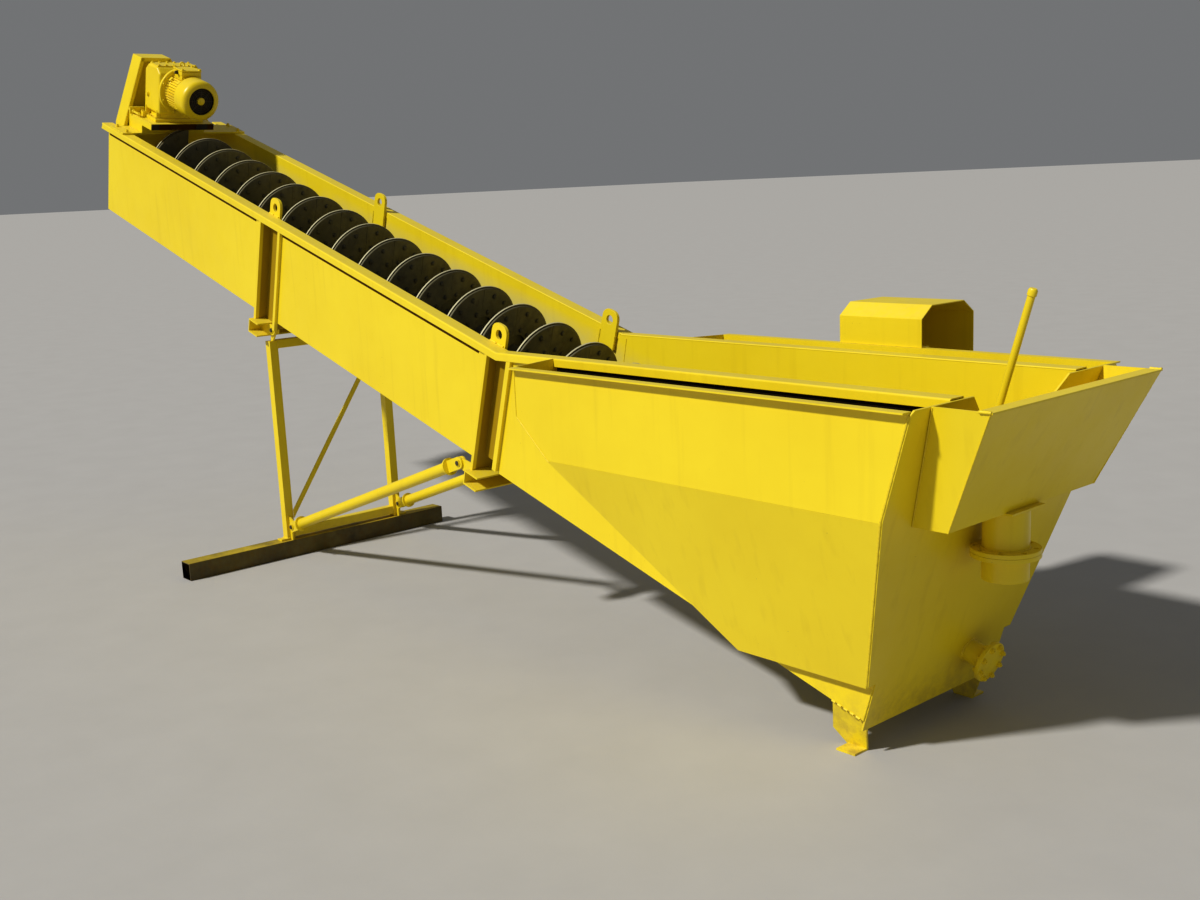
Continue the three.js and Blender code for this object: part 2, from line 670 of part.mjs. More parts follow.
const braceAngle = Math.atan2(braceRise, braceRun);
for (const [name, y] of [['near_pipe_brace', -LEG_Y], ['far_pipe_brace', LEG_Y]]) {
  const mesh = addNode(name, pipeBrace(), framePaint);
  mesh.position.set(BRACE_LOW.x, y, BRACE_LOW.z);
  mesh.rotation.y = -braceAngle;
}

// Skid beam across the machine under the legs
const beamHalf = BEAM / 2;
const beamWall = 8;
const beamSection = (size) => [
  [LEG_X - size, GROUND + beamHalf - size], [LEG_X + size, GROUND + beamHalf - size],
  [LEG_X + size, GROUND + beamHalf + size], [LEG_X - size, GROUND + beamHalf + size],
];
addNode('skid_beam', alongY(beamSection(beamHalf), -1025, 690, [beamSection(beamHalf - beamWall)]), bareSteel);

// Feed hood on the far side, open toward the overflow end
const hoodFrom = 1100;
const hoodTo = 1530;
const hoodSheet = 5;
const hoodOuter = [
  [695, -385], [1030, -385], [1030, 110], [955, 164], [720, 164], [645, 110], [645, TANK_TOP + GAP],
  [695, TANK_TOP + GAP],
];
const hoodInner = [
  [700, -380], [1025, -380], [1025, 107], [953, 159], [722, 159], [650, 107], [650, TANK_TOP + GAP + 5],
  [700, TANK_TOP + GAP + 5],
];
addNode('feed_hood', alongX(hoodOuter, hoodFrom, hoodTo)
  .subtract(alongX(hoodInner, hoodFrom + hoodSheet, hoodTo + 10)), shellPaint);

export default root;
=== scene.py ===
import math

import bmesh
import bpy
from mathutils import Matrix, Vector


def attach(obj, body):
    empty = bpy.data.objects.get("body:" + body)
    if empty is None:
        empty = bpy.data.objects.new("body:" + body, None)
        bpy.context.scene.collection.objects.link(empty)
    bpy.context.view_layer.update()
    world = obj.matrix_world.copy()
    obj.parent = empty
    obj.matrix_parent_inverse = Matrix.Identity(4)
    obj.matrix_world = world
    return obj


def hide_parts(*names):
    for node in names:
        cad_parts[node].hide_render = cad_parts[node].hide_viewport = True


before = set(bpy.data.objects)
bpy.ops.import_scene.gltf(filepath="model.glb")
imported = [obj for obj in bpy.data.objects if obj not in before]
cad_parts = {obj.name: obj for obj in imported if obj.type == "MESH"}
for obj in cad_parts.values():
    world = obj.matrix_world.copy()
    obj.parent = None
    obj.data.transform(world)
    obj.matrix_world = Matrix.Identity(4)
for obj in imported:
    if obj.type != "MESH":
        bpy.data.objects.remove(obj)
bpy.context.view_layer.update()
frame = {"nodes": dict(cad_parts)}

# The level tank frame, the trough's sloping frame, the screw's axis and the drive on the slope, in metres
SLOPE = math.radians(17)
BEND = Vector((2.2, 0.0, 1.35))
AXIS_N = -0.242
LEVEL = Matrix.Translation(BEND)
TILT = LEVEL @ Matrix.Rotation(SLOPE, 4, "Y")
SCREW = TILT @ Matrix.Translation((0, 0, AXIS_N))
DRIVE = TILT @ Matrix.Translation((-3.905, -0.085, 0.3))
STILL = Matrix.Identity(4)
WHOLE_TURN = 2 * math.pi
QUARTER_TURN = math.pi / 2
AXES = {"X": Vector((1, 0, 0)), "Y": Vector((0, 1, 0)), "Z": Vector((0, 0, 1))}
SIDES = (-1, 1)

# The screw's blade and wear shoes: places along its axis, radii out from it, and steps and shoes to a turn
PITCH = 0.2737
BLADE_START = -3.965
BLADE_END = 2.080
BLADE_TURNS = (BLADE_END - BLADE_START) / PITCH
BLADE_THICKNESS = 0.008
BLADE_INNER = 0.079
BLADE_OUTER = 0.2895
BLADE_EDGE = 0.2872
BLADE_STEPS = 54
SHOES_PER_TURN = 6
SHOE_INNER = 0.132
SHOE_OUTER = 0.2815
SHOE_EDGE = 0.2798
SHOE_BACK = 0.0043
SHOE_FACE = 0.0158

# The trough and the tank: distances from the middle plane, and places along the slope
RIM_INNER = 0.35
RIM_OUTER = 0.428
RIM_LIP = 0.037
SHEET_FACE = 0.411
RIB_WEB = 0.405
TANK_SIDE = 0.64
HEAD_END = -4.325
TAIL_S = 2.291
TROUGH_FOOT = -0.556
LUGS = (-2.16, -0.088)

# The leg frame's pins as (x, z), the overflow outlet as (x, y) and the drain branch as (y, z), and the
# angle that turns a ring of eight bolts to either side of its axes
POST_Y = 0.37
HANGER = (-2.152, -0.01)
BRACE_LOW = (-2.13, -1.165)
BRACE_HIGH = (-0.41, -0.567)
OUTLET = (2.35, -0.02)
DRAIN = (0.18, -0.43)
HALF_EIGHTH = math.radians(22.5)

# Roundings of cut and folded edges
FINE_EDGE = 0.001
OUTLET_EDGE = 0.0012
SHEET_EDGE = 0.0015
TUBE_FOLD = 0.004
BEAM_FOLD = 0.006

# Colours of the enamel, of what lies on the enamel and the steel, and of the shade painted into the ribs'
# recesses
YELLOW = (0.84, 0.66, 0.022, 1)
YELLOW_SHADE = (0.79, 0.605, 0.018, 1)
PAINT_RUN = (0.52, 0.36, 0.01, 1)
PAINT_NICK = (0.09, 0.06, 0.03, 1)
PAINTED_RECESS_SHADE = (0.17, 0.075, 0.004, 1)
WELD_SHADE = (0.42, 0.27, 0.012, 1)
SAND_DUST = (0.60, 0.50, 0.27, 1)
SAND_FILM = (0.43, 0.45, 0.31, 1)
SOIL = (0.27, 0.16, 0.06, 1)
PLATE_RUST = (0.085, 0.042, 0.014, 1)
PLATE_SPRAY = (0.20, 0.165, 0.02, 1)
SECTION_RUST = (0.115, 0.05, 0.018, 1)
SECTION_SPRAY = (0.62, 0.47, 0.035, 1)
FLOOR_TONES = (0.445, 0.435, 0.42, 1), (0.465, 0.455, 0.44, 1)


# Node trees
class Nodes:
    """A node tree whose nodes are added, set and linked by name."""

    def __init__(self, tree):
        self.tree = tree

    def feed(self, socket, value):
        """Link an output into a socket, or give the socket a plain value."""
        if isinstance(value, bpy.types.NodeSocket):
            self.tree.links.new(value, socket)
        else:
            socket.default_value = value

    def node(self, kind, inputs=None, **settings):
        made = self.tree.nodes.new(kind)
        for key, value in settings.items():
            setattr(made, key, value)
        for key, value in (inputs or {}).items():
            self.feed(made.inputs[key], value)
        return made

    def math(self, operation, *values):
        made = self.node("ShaderNodeMath", dict(enumerate(values)), operation=operation)
        return made.outputs["Value"]

    def times(self, first, second):
        return self.math("MULTIPLY", first, second)

    def part(self, vector, letter):
        """The X, Y or Z of a vector."""
        return self.node("ShaderNodeSeparateXYZ", {"Vector": vector}).outputs[letter]


class Finish(Nodes):
    """One node material, built on Object coordinates."""

    def __init__(self, name):
        self.material = bpy.data.materials.new(name)
        self.material.use_nodes = True
        super().__init__(self.material.node_tree)
        self.tree.nodes.clear()
        self.shader = self.node("ShaderNodeBsdfPrincipled")
        self.node("ShaderNodeOutputMaterial", {"Surface": self.shader.outputs["BSDF"]})
        self.coords = self.node("ShaderNodeTexCoord").outputs["Object"]

    def noise(self, scale, detail=3.0, rough=0.55, where=None, stretch=None):
        where = where or self.coords
        if stretch:
            where = self.node("ShaderNodeMapping", {"Vector": where, "Scale": stretch}).outputs["Vector"]
        made = self.node("ShaderNodeTexNoise", {"Vector": where, "Scale": scale, "Detail": detail,
                                                "Roughness": rough})
        return made.outputs["Fac"]

    def span(self, value, low, high, to_low=0.0, to_high=1.0):
        """Stretch a value between two limits to the range from 0 to 1, or another."""
        made = self.node("ShaderNodeMapRange", {"Value": value, "From Min": low, "From Max": high,
                                                "To Min": to_low, "To Max": to_high})
        return made.outputs["Result"]

    def mix(self, share, first, second):
        made = self.node("ShaderNodeMix", data_type="RGBA")
        for key, value in (("Factor", share), ("A", first), ("B", second)):
            self.feed(made.inputs[key], value)
        return made.outputs["Result"]

    def lay(self, color, tone, mask, share):
        """Lay a tone over a colour where the mask is, by the given share."""
        return self.mix(self.times(mask, share), color, tone)

    def bump(self, height, strength, distance, under=None):
        made = self.node("ShaderNodeBump", {"Strength": strength, "Distance": distance, "Height": height})
        if under:
            self.feed(made.inputs["Normal"], under)
        return made.outputs["Normal"]

    def facing_up(self, low, high):
        """From 0 on steep faces to 1 on those that face up."""
        return self.span(self.part(self.node("ShaderNodeNewGeometry").outputs["Normal"], "Z"), low, high)

    def from_screw(self):
        """Where a point of the piece lies as seen from the screw's axis."""
        place = {"Vector": self.coords, "Location": SCREW.to_translation(), "Rotation": (0.0, SLOPE, 0.0)}
        return self.node("ShaderNodeMapping", place, vector_type="TEXTURE").outputs["Vector"]

    def screw_radius(self):
        """Distance of a point of the piece from the screw's axis."""
        point = self.from_screw()
        squares = [self.math("POWER", self.part(point, letter), 2.0) for letter in "YZ"]
        return self.math("SQRT", self.math("ADD", *squares))

    def done(self, color, roughness, normal, metallic=0.0, coat=0.0, gloss=0.5):
        surface = {"Base Color": color, "Roughness": roughness, "Metallic": metallic,
                   "Specular IOR Level": gloss}
        if normal:
            surface["Normal"] = normal
        if coat:
            surface.update({"Coat Weight": coat, "Coat Roughness": 0.25})
        for key, value in surface.items():
            self.feed(self.shader.inputs[key], value)
        return self.material


# Finishes
def yellow_paint(name, base=YELLOW, shade=YELLOW_SHADE, wave=0.0022, peel=0.25, splash=0.5, sand=0.0,
                 painted_recess_shade=0.0):
    """Sprayed enamel: cloudy coats, runs, nicks and dust; soil, a film of sand or painted shade in a recess
    if asked.
    """
    f = Finish(name)
    cloud = f.noise(1.6, 4.0, 0.6)
    patch = f.noise(9.0, 5.0, 0.62)
    runs = f.noise(1.0, 3.0, 0.5, stretch=(22.0, 22.0, 1.3))
    color = f.mix(f.span(cloud, 0.35, 0.7), base, shade)
    color = f.lay(color, shade, f.span(patch, 0.52, 0.75), 0.28)
    color = f.lay(color, PAINT_RUN, f.span(runs, 0.56, 0.72), 0.13)
    grit = f.span(f.noise(38.0, 6.0, 0.7), 0.3, 0.75)
    settled = f.times(f.times(f.facing_up(0.55, 0.95), grit), 0.252)
    color = f.mix(settled, color, SAND_DUST)
    nicks = f.times(f.span(f.noise(120.0, 2.0, 0.5), 0.745, 0.76), f.span(patch, 0.55, 0.66))
    color = f.lay(color, PAINT_NICK, nicks, 0.75)
    if splash:
        low = f.span(f.part(f.coords, "Z"), 0.3, 0.0)
        soil = f.times(low, f.span(f.noise(16.0, 6.0, 0.7), 0.42, 0.62))
        color = f.lay(color, SOIL, soil, splash)
    if sand:
        film = f.times(f.span(f.screw_radius(), 0.405, 0.345), f.span(f.noise(2.3, 4.0, 0.6), 0.32, 0.58))
        color = f.lay(color, SAND_FILM, film, sand)
    if painted_recess_shade:
        # Painted shade: the rib's recess darkens towards its back web, standing for the shadow that falls
        # inside it
        recess_shade_mask = f.span(f.math("ABSOLUTE", f.part(f.coords, "Y")), SHEET_FACE + 0.0005, RIB_WEB)
        color = f.lay(color, PAINTED_RECESS_SHADE, recess_shade_mask, painted_recess_shade)
    rough = f.math("ADD", f.span(patch, 0.3, 0.8, 0.30, 0.46), f.times(settled, 0.9))
    normal = f.bump(f.noise(2.4, 2.0, 0.5), 1.0, wave)
    normal = f.bump(f.noise(420.0, 2.0, 0.5), peel, 0.00035, normal)
    normal = f.bump(nicks, 0.5, -0.0004, normal)
    return f.done(color, rough, normal, coat=0.06, gloss=0.36)


def weld_paint(name, base):
    """Painted weld: same enamel, rougher, darker in its ripples."""
    f = Finish(name)
    spots = f.noise(140.0, 4.0, 0.65)
    color = f.lay(base, WELD_SHADE, f.span(spots, 0.5, 0.72), 0.5)
    return f.done(color, f.span(spots, 0.3, 0.7, 0.38, 0.6), f.bump(spots, 0.7, 0.0012), coat=0.1)


def blade_steel(name, base, worn, edge_from, edge):
    """Blackened plate with oil, rust and overspray; the outer edge is worn paler."""
    f = Finish(name)
    film = f.noise(7.0, 5.0, 0.65)
    rust = f.noise(26.0, 6.0, 0.7)
    color = f.mix(f.span(film, 0.35, 0.7), base, worn)
    color = f.lay(color, PLATE_RUST, f.span(rust, 0.55, 0.75), 0.55)
    color = f.lay(color, PLATE_SPRAY, f.span(f.noise(3.0, 4.0, 0.6), 0.46, 0.72), 0.36)
    color = f.mix(f.span(f.screw_radius(), edge_from, edge_from + 0.0008), color, edge)
    normal = f.bump(f.noise(60.0, 5.0, 0.7, where=f.from_screw()), 0.35, 0.0012)
    return f.done(color, f.span(rust, 0.3, 0.8, 0.42, 0.8), normal, metallic=0.25)


def dark_steel(name, base, worn, spray):
    """Mill-scaled section steel with rust and yellow overspray on its upper faces."""
    f = Finish(name)
    scale = f.noise(11.0, 5.0, 0.65)
    rust = f.noise(34.0, 7.0, 0.72)
    color = f.mix(f.span(scale, 0.35, 0.7), base, worn)
    color = f.lay(color, SECTION_RUST, f.span(rust, 0.5, 0.7), 0.7)
    drift = f.span(f.noise(2.6, 5.0, 0.65), 0.3, 0.62)
    spread = f.math("MAXIMUM", f.facing_up(0.4, 0.9), 0.16)
    color = f.lay(color, SECTION_SPRAY, spread, f.times(drift, spray))
    normal = f.bump(rust, 0.5, 0.0009, f.bump(scale, 0.4, 0.002))
    return f.done(color, f.span(rust, 0.3, 0.8, 0.45, 0.85), normal, metallic=0.35)


def gap_shade(name, base, dust):
    """Painted shade for gaps too deep for light and for a face in shadow: a dull dark tone with a little
    dust.
    """
    f = Finish(name)
    color = f.mix(f.span(f.noise(14.0, 5.0, 0.65), 0.4, 0.75), base, dust)
    return f.done(color, 0.9, None, gloss=0.06)


def plain_floor(name):
    """Pale matt ground with a slight grain."""
    f = Finish(name)
    color = f.mix(f.span(f.noise(3.0, 5.0, 0.6), 0.3, 0.7), *FLOOR_TONES)
    return f.done(color, 0.85, f.bump(f.noise(60.0, 3.0, 0.6), 0.15, 0.001))


finish = {
    "shell": yellow_paint("sheet_enamel"),
    "inside": yellow_paint("inside_enamel", sand=0.7),
    # The ribs carry painted shade in their recesses
    "rib": yellow_paint("rib_enamel", painted_recess_shade=0.72),
    "frame": yellow_paint("frame_enamel", (0.82, 0.645, 0.018, 1), (0.76, 0.575, 0.014, 1), wave=0.001,
                          splash=0.22),
    "drive": yellow_paint("drive_enamel", (0.84, 0.65, 0.014, 1), (0.76, 0.56, 0.012, 1), wave=0.0006,
                          peel=0.5, splash=0.0),
    "weld": weld_paint("weld_enamel", (0.82, 0.63, 0.014, 1)),
    "screw": blade_steel("screw_plate", (0.080, 0.077, 0.055, 1), (0.145, 0.132, 0.082, 1), BLADE_EDGE,
                         (0.60, 0.56, 0.35, 1)),
    "shoe": blade_steel("shoe_plate", (0.095, 0.091, 0.060, 1), (0.170, 0.152, 0.086, 1), SHOE_EDGE,
                        (0.16, 0.145, 0.08, 1)),
    "bolt": dark_steel("bolt_steel", (0.030, 0.027, 0.021, 1), (0.07, 0.06, 0.045, 1), 0.15),
    "beam": dark_steel("beam_steel", (0.040, 0.034, 0.022, 1), (0.085, 0.07, 0.04, 1), 1.0),
    # Dark steel for the gland and the packing blocks, also used as painted shade inside the fan cowl
    "black": dark_steel("dark_inside", (0.012, 0.011, 0.009, 1), (0.02, 0.018, 0.014, 1), 0.1),
    # Painted shade: dark tones standing for unlit gaps and shaded faces
    "slot_painted_shade": gap_shade("slot_shade", (0.058, 0.024, 0.001, 1), (0.085, 0.038, 0.003, 1)),
    "void_painted_shade": gap_shade("void_shade", (0.009, 0.006, 0.002, 1), (0.018, 0.012, 0.004, 1)),
}
slots = dict.fromkeys(("shell", "inside", "rib", "weld", "slot_painted_shade", "void_painted_shade"), "shell_paint")
slots.update(frame="frame_paint", drive="drive_paint", screw="screw_steel", bolt="screw_steel",
             shoe="shoe_iron", beam="bare_steel", black="bare_steel")


# Pieces in the making
def add_object(name, data):
    made = bpy.data.objects.new(name, data)
    bpy.context.scene.collection.objects.link(made)
    return made


def add_mesh(name, bm):
    mesh = bpy.data.meshes.new(name)
    bm.to_mesh(mesh)
    bm.free()
    return add_object(name, mesh)


def apply_modifiers(obj):
    """Turn the evaluated object into a plain mesh and drop its modifiers."""
    bpy.context.view_layer.update()
    graph = bpy.context.evaluated_depsgraph_get()
    mesh = bpy.data.meshes.new_from_object(obj.evaluated_get(graph))
    name = obj.name
    bpy.data.objects.remove(obj)
    return add_object(name, mesh)


def set_smooth(mesh, angle):
    mesh.shade_smooth()
    mesh.set_sharp_from_angle(angle=math.radians(angle))


def carry(obj, look, body="frame", replaces=()):
    """Let a finished piece ride on its body, and hide the nodes that it stands for."""
    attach(obj, body)
    if replaces:
        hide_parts(*replaces)


def settle(obj, look, body="frame", bevel=0.0, segments=2, smooth=40, replaces=()):
    """Round the edges, give the finish and let the piece ride on its body."""
    if bevel:
        rounding = obj.modifiers.new("rounding", "BEVEL")
        rounding.width = bevel
        rounding.segments = segments
        rounding.limit_method = "ANGLE"
        rounding.angle_limit = math.radians(30)
        obj = apply_modifiers(obj)
    obj.data.materials.clear()
    obj.data.materials.append(finish[look])
    if smooth:
        set_smooth(obj.data, smooth)
        flats = obj.modifiers.new("flats", "WEIGHTED_NORMAL")
        flats.keep_sharp = True
        obj = apply_modifiers(obj)
    carry(obj, look, body, replaces)


class Piece:
    """A piece in the making: shapes are added to it, then it is stood in its frame."""

    def __init__(self, name, place=STILL):
        self.name = name
        self.place = place
        self.bm = bmesh.new()

    def points(self, spots):
        return [self.bm.verts.new(spot) for spot in spots]

    def faces(self, *loops):
        for loop in loops:
            self.bm.faces.new(loop)

    def block(self, low, high, turn=STILL):
        """A box between two corners."""
        made = bmesh.ops.create_cube(self.bm, size=1.0)["verts"]
        size = [high[i] - low[i] for i in range(3)]
        center = [(high[i] + low[i]) / 2 for i in range(3)]
        matrix = Matrix.Translation(center) @ Matrix.Diagonal((*size, 1))
        bmesh.ops.transform(self.bm, matrix=turn @ matrix, verts=made)

    def turned(self, profile, sides=48, place=STILL):
        """A body of revolution about X from (x, radius) pairs, closed at the axis."""
        rings = []
        for x, radius in profile:
            angles = [WHOLE_TURN * i / sides for i in range(sides)] if radius else [0.0]
            rings.append(self.points(place @ Vector((x, radius * math.cos(angle), radius * math.sin(angle)))
                                     for angle in angles))
        for first, second in zip(rings, rings[1:]):
            for i in range(sides):
                j = (i + 1) % sides
                if len(first) == 1:
                    self.faces((first[0], second[i], second[j]))
                elif len(second) == 1:
                    self.faces((first[i], first[j], second[0]))
                else:
                    self.faces((first[i], first[j], second[j], second[i]))

    def drum(self, start, end, radius, sides, place=STILL):
        """A closed bar along X: round, or with six sides a hexagon."""
        self.turned([(start, 0), (start, radius), (end, radius), (end, 0)], sides, place)

    def extruded(self, outline, low, high, axis="Y"):
        """A prism of an outline: (x, z) along Y or (y, z) along X."""
        def layer(w):
            return self.points((u, w, v) if axis == "Y" else (w, u, v) for u, v in outline)

        first, second = layer(low), layer(high)
        self.faces(first, list(reversed(second)))
        for i in range(len(outline)):
            j = (i + 1) % len(outline)
            self.faces((first[i], first[j], second[j], second[i]))

    def copy(self, node):
        """Take the shape of a CAD node, its triangles merged into whole faces."""
        bm = self.bm
        bm.from_mesh(frame["nodes"][node].data)
        bmesh.ops.remove_doubles(bm, verts=bm.verts, dist=2e-5)
        bmesh.ops.dissolve_limit(bm, angle_limit=math.radians(1.0), verts=bm.verts, edges=bm.edges)

    def stand(self):
        """The piece as an object, without doubles and with its faces outwards."""
        bmesh.ops.remove_doubles(self.bm, verts=self.bm.verts, dist=1e-6)
        bmesh.ops.recalc_face_normals(self.bm, faces=self.bm.faces)
        self.bm.transform(self.place)
        return add_mesh(self.name, self.bm)

    def settle(self, look, **ways):
        settle(self.stand(), look, **ways)


def placed(at, angle=0.0, axis="X"):
    """A place, and a turn about one axis there."""
    return Matrix.Translation(at) @ Matrix.Rotation(angle, 4, axis)


def round_path(first, second, radius, count):
    """A closed circle of points in a plane, the first given again at its end."""
    angles = [WHOLE_TURN * k / count for k in range(count + 1)]
    return [(first + radius * math.cos(angle), second + radius * math.sin(angle)) for angle in angles]


def circle_of(center, radius, count, axis, start=0.0):
    """Positions on a circle across an axis, such as X or -X, each with that axis."""
    letter = axis[-1]
    first, second = [AXES[other] for other in "XYZ" if other != letter]
    direction = -AXES[letter] if axis.startswith("-") else AXES[letter]
    spots = []
    for i in range(count):
        angle = start + WHOLE_TURN * i / count
        at = Vector(center) + radius * (math.cos(angle) * first + math.sin(angle) * second)
        spots.append((at, direction))
    return spots


# Geometry Nodes
class Tree(Nodes):
    """A geometry tree with named inputs, which ends in Realize Instances and Set Material."""

    def __init__(self, name, sizes, counts=()):
        super().__init__(bpy.data.node_groups.new(name, "GeometryNodeTree"))
        inputs = [("Geometry", "Geometry"), *((label, "Float") for label in sizes),
                  *((label, "Int") for label in counts), ("Material", "Material")]
        for label, kind in inputs:
            self.tree.interface.new_socket(label, in_out="INPUT", socket_type=f"NodeSocket{kind}")
        self.tree.interface.new_socket("Geometry", in_out="OUTPUT", socket_type="NodeSocketGeometry")
        self.entry = self.node("NodeGroupInput")

    def given(self, label):
        return self.entry.outputs[label]

    def vector(self, **parts):
        return self.node("ShaderNodeCombineXYZ", parts).outputs["Vector"]

    def attribute(self, name, kind):
        made = self.node("GeometryNodeInputNamedAttribute", {"Name": name}, data_type=kind)
        return made.outputs["Attribute"]

    def joined(self, *parts):
        join = self.node("GeometryNodeJoinGeometry")
        for part in parts:
            self.feed(join.inputs["Geometry"], part)
        return join.outputs["Geometry"]

    def moved(self, geometry, place):
        made = self.node("GeometryNodeSetPosition", {"Geometry": geometry, "Position": place})
        return made.outputs["Geometry"]

    def spread(self, count, place):
        """A count of points, each at its own place."""
        line = self.node("GeometryNodeMeshLine", {"Count": count, "Offset": (0.0, 0.0, 0.0)})
        return self.moved(line.outputs["Mesh"], place)

    def share(self, label):
        """Each point's number divided by the named input."""
        return self.math("DIVIDE", self.node("GeometryNodeInputIndex").outputs["Index"], self.given(label))

    def copies(self, points, part, rotation):
        made = self.node("GeometryNodeInstanceOnPoints", {"Points": points, "Instance": part,
                                                          "Rotation": rotation})
        return made.outputs["Instances"]

    def close(self, geometry):
        """End the tree and give it back."""
        real = self.node("GeometryNodeRealizeInstances", {"Geometry": geometry})
        coat = self.node("GeometryNodeSetMaterial", {"Geometry": real.outputs["Geometry"],
                                                     "Material": self.given("Material")})
        self.node("NodeGroupOutput", {"Geometry": coat.outputs["Geometry"]})
        return self.tree


def run_tree(obj, tree, values):
    """Set the tree's inputs by identifier, evaluate it and keep the plain mesh."""
    modifier = obj.modifiers.new(tree.name, "NODES")
    modifier.node_group = tree
    for item in tree.interface.items_tree:
        if item.item_type == "SOCKET" and item.in_out == "INPUT" and item.name in values:
            modifier[item.identifier] = values[item.name]
    return apply_modifiers(obj)


def fastener_tree():
    """A hex head with washer and stud end on every point, turned to the point's axis."""
    tree = Tree("fasteners", ("Head Radius", "Head Height", "Washer Radius", "Stud Length"))

    def drum(sides, radius, depth, lift):
        tube = tree.node("GeometryNodeMeshCylinder", {"Vertices": sides, "Radius": radius, "Depth": depth})
        rise = tree.vector(Z=tree.times(depth, lift))
        shift = tree.node("GeometryNodeTransform", {"Geometry": tube.outputs["Mesh"], "Translation": rise})
        return shift.outputs["Geometry"]

    given, times = tree.given, tree.times
    head = drum(6, given("Head Radius"), given("Head Height"), 0.7)
    washer = drum(14, given("Washer Radius"), times(given("Head Height"), 0.22), 0.5)
    stud = drum(10, times(given("Head Radius"), 0.56), given("Stud Length"), 0.5)
    align = tree.node("FunctionNodeAlignRotationToVector", {"Vector": tree.attribute("axis", "FLOAT_VECTOR")},
                      axis="Z")
    spin = tree.node("FunctionNodeRandomValue", {"Max": (0.0, 0.0, 1.0), "Seed": 11},
                     data_type="FLOAT_VECTOR")
    turn = tree.node("FunctionNodeRotateRotation", {"Rotation": align.outputs["Rotation"],
                                                    "Rotate By": spin.outputs["Value"]},
                     rotation_space="LOCAL")
    bolt = tree.joined(head, washer, stud)
    return tree.close(tree.copies(given("Geometry"), bolt, turn.outputs["Rotation"]))


def bead_tree():
    """A rippled weld bead swept along each path."""
    tree = Tree("weld_beads", ("Bead Radius", "Ripple Length"))
    even = tree.node("GeometryNodeResampleCurve", {"Curve": tree.given("Geometry"),
                                                   "Length": tree.given("Ripple Length")}, mode="LENGTH")
    vary = tree.node("FunctionNodeRandomValue", {"Min": 0.72, "Max": 1.18, "Seed": 5})
    size = tree.times(vary.outputs["Value"], tree.given("Bead Radius"))
    swell = tree.node("GeometryNodeSetCurveRadius", {"Curve": even.outputs["Curve"], "Radius": size})
    ring = tree.node("GeometryNodeCurvePrimitiveCircle", {"Resolution": 6, "Radius": 1.0})
    sweep = tree.node("GeometryNodeCurveToMesh", {
        "Curve": swell.outputs["Curve"], "Profile Curve": ring.outputs["Curve"],
        "Scale": tree.attribute("radius", "FLOAT"), "Fill Caps": True})
    return tree.close(sweep.outputs["Mesh"])


def blade_tree():
    """A helical blade: a grid rolled about X by pitch and turns, then given its plate thickness."""
    tree = Tree("helical_blade", ("Inner Radius", "Outer Radius", "Pitch", "Turns", "Start", "Thickness"),
                ("Steps", "Rings"))
    given, times = tree.given, tree.times
    grid = tree.node("GeometryNodeMeshGrid", {"Size X": 1.0, "Size Y": 1.0, "Vertices X": given("Steps"),
                                              "Vertices Y": given("Rings")})
    spot = tree.node("GeometryNodeInputPosition").outputs["Position"]
    lengthwise = tree.math("ADD", tree.part(spot, "X"), 0.5)
    outwards = tree.math("ADD", tree.part(spot, "Y"), 0.5)
    turns = times(lengthwise, given("Turns"))
    angle = times(turns, -WHOLE_TURN)
    width = tree.math("SUBTRACT", given("Outer Radius"), given("Inner Radius"))
    radius = tree.math("MULTIPLY_ADD", outwards, width, given("Inner Radius"))
    along = tree.math("MULTIPLY_ADD", turns, given("Pitch"), given("Start"))
    rolled = tree.moved(grid.outputs["Mesh"], tree.vector(
        X=along, Y=times(radius, tree.math("SINE", angle)), Z=times(radius, tree.math("COSINE", angle))))
    thick = tree.node("GeometryNodeExtrudeMesh", {"Mesh": rolled, "Offset": tree.vector(X=given("Thickness")),
                                                  "Individual": False}, mode="FACES")
    back = tree.node("GeometryNodeFlipFaces", {"Mesh": rolled})
    whole = tree.joined(thick.outputs["Mesh"], back.outputs["Mesh"])
    merged = tree.node("GeometryNodeMergeByDistance", {"Geometry": whole, "Distance": 1e-5})
    return tree.close(merged.outputs["Geometry"])


def winding_tree():
    """Copies of one part set out along a helix about X, each turned by its share of a turn."""
    tree = Tree("along_helix", ("Pitch", "Start"), ("Count", "Per Turn"))
    share = tree.share("Per Turn")
    along = tree.math("MULTIPLY_ADD", share, tree.given("Pitch"), tree.given("Start"))
    points = tree.spread(tree.given("Count"), tree.vector(X=along))
    turn = tree.vector(X=tree.times(share, WHOLE_TURN))
    return tree.close(tree.copies(points, tree.given("Geometry"), turn))


def fin_tree():
    """Cooling fins set round a motor body."""
    tree = Tree("motor_fins", ("Body Radius", "Fin Height", "Fin Length", "Fin Thickness"), ("Fin Count",))
    given, times = tree.given, tree.times
    size = tree.vector(X=given("Fin Length"), Y=given("Fin Thickness"), Z=given("Fin Height"))
    fin = tree.node("GeometryNodeMeshCube", {"Size": size}).outputs["Mesh"]
    angle = times(tree.share("Fin Count"), WHOLE_TURN)
    reach = tree.math("ADD", given("Body Radius"), times(given("Fin Height"), 0.3))
    points = tree.spread(given("Fin Count"), tree.vector(
        Y=times(tree.math("SINE", angle), times(reach, -1.0)), Z=times(tree.math("COSINE", angle), reach)))
    return tree.close(tree.copies(points, fin, tree.vector(X=angle)))


FASTENERS = fastener_tree()
BEADS = bead_tree()
BLADE = blade_tree()
WINDING = winding_tree()
FINS = fin_tree()


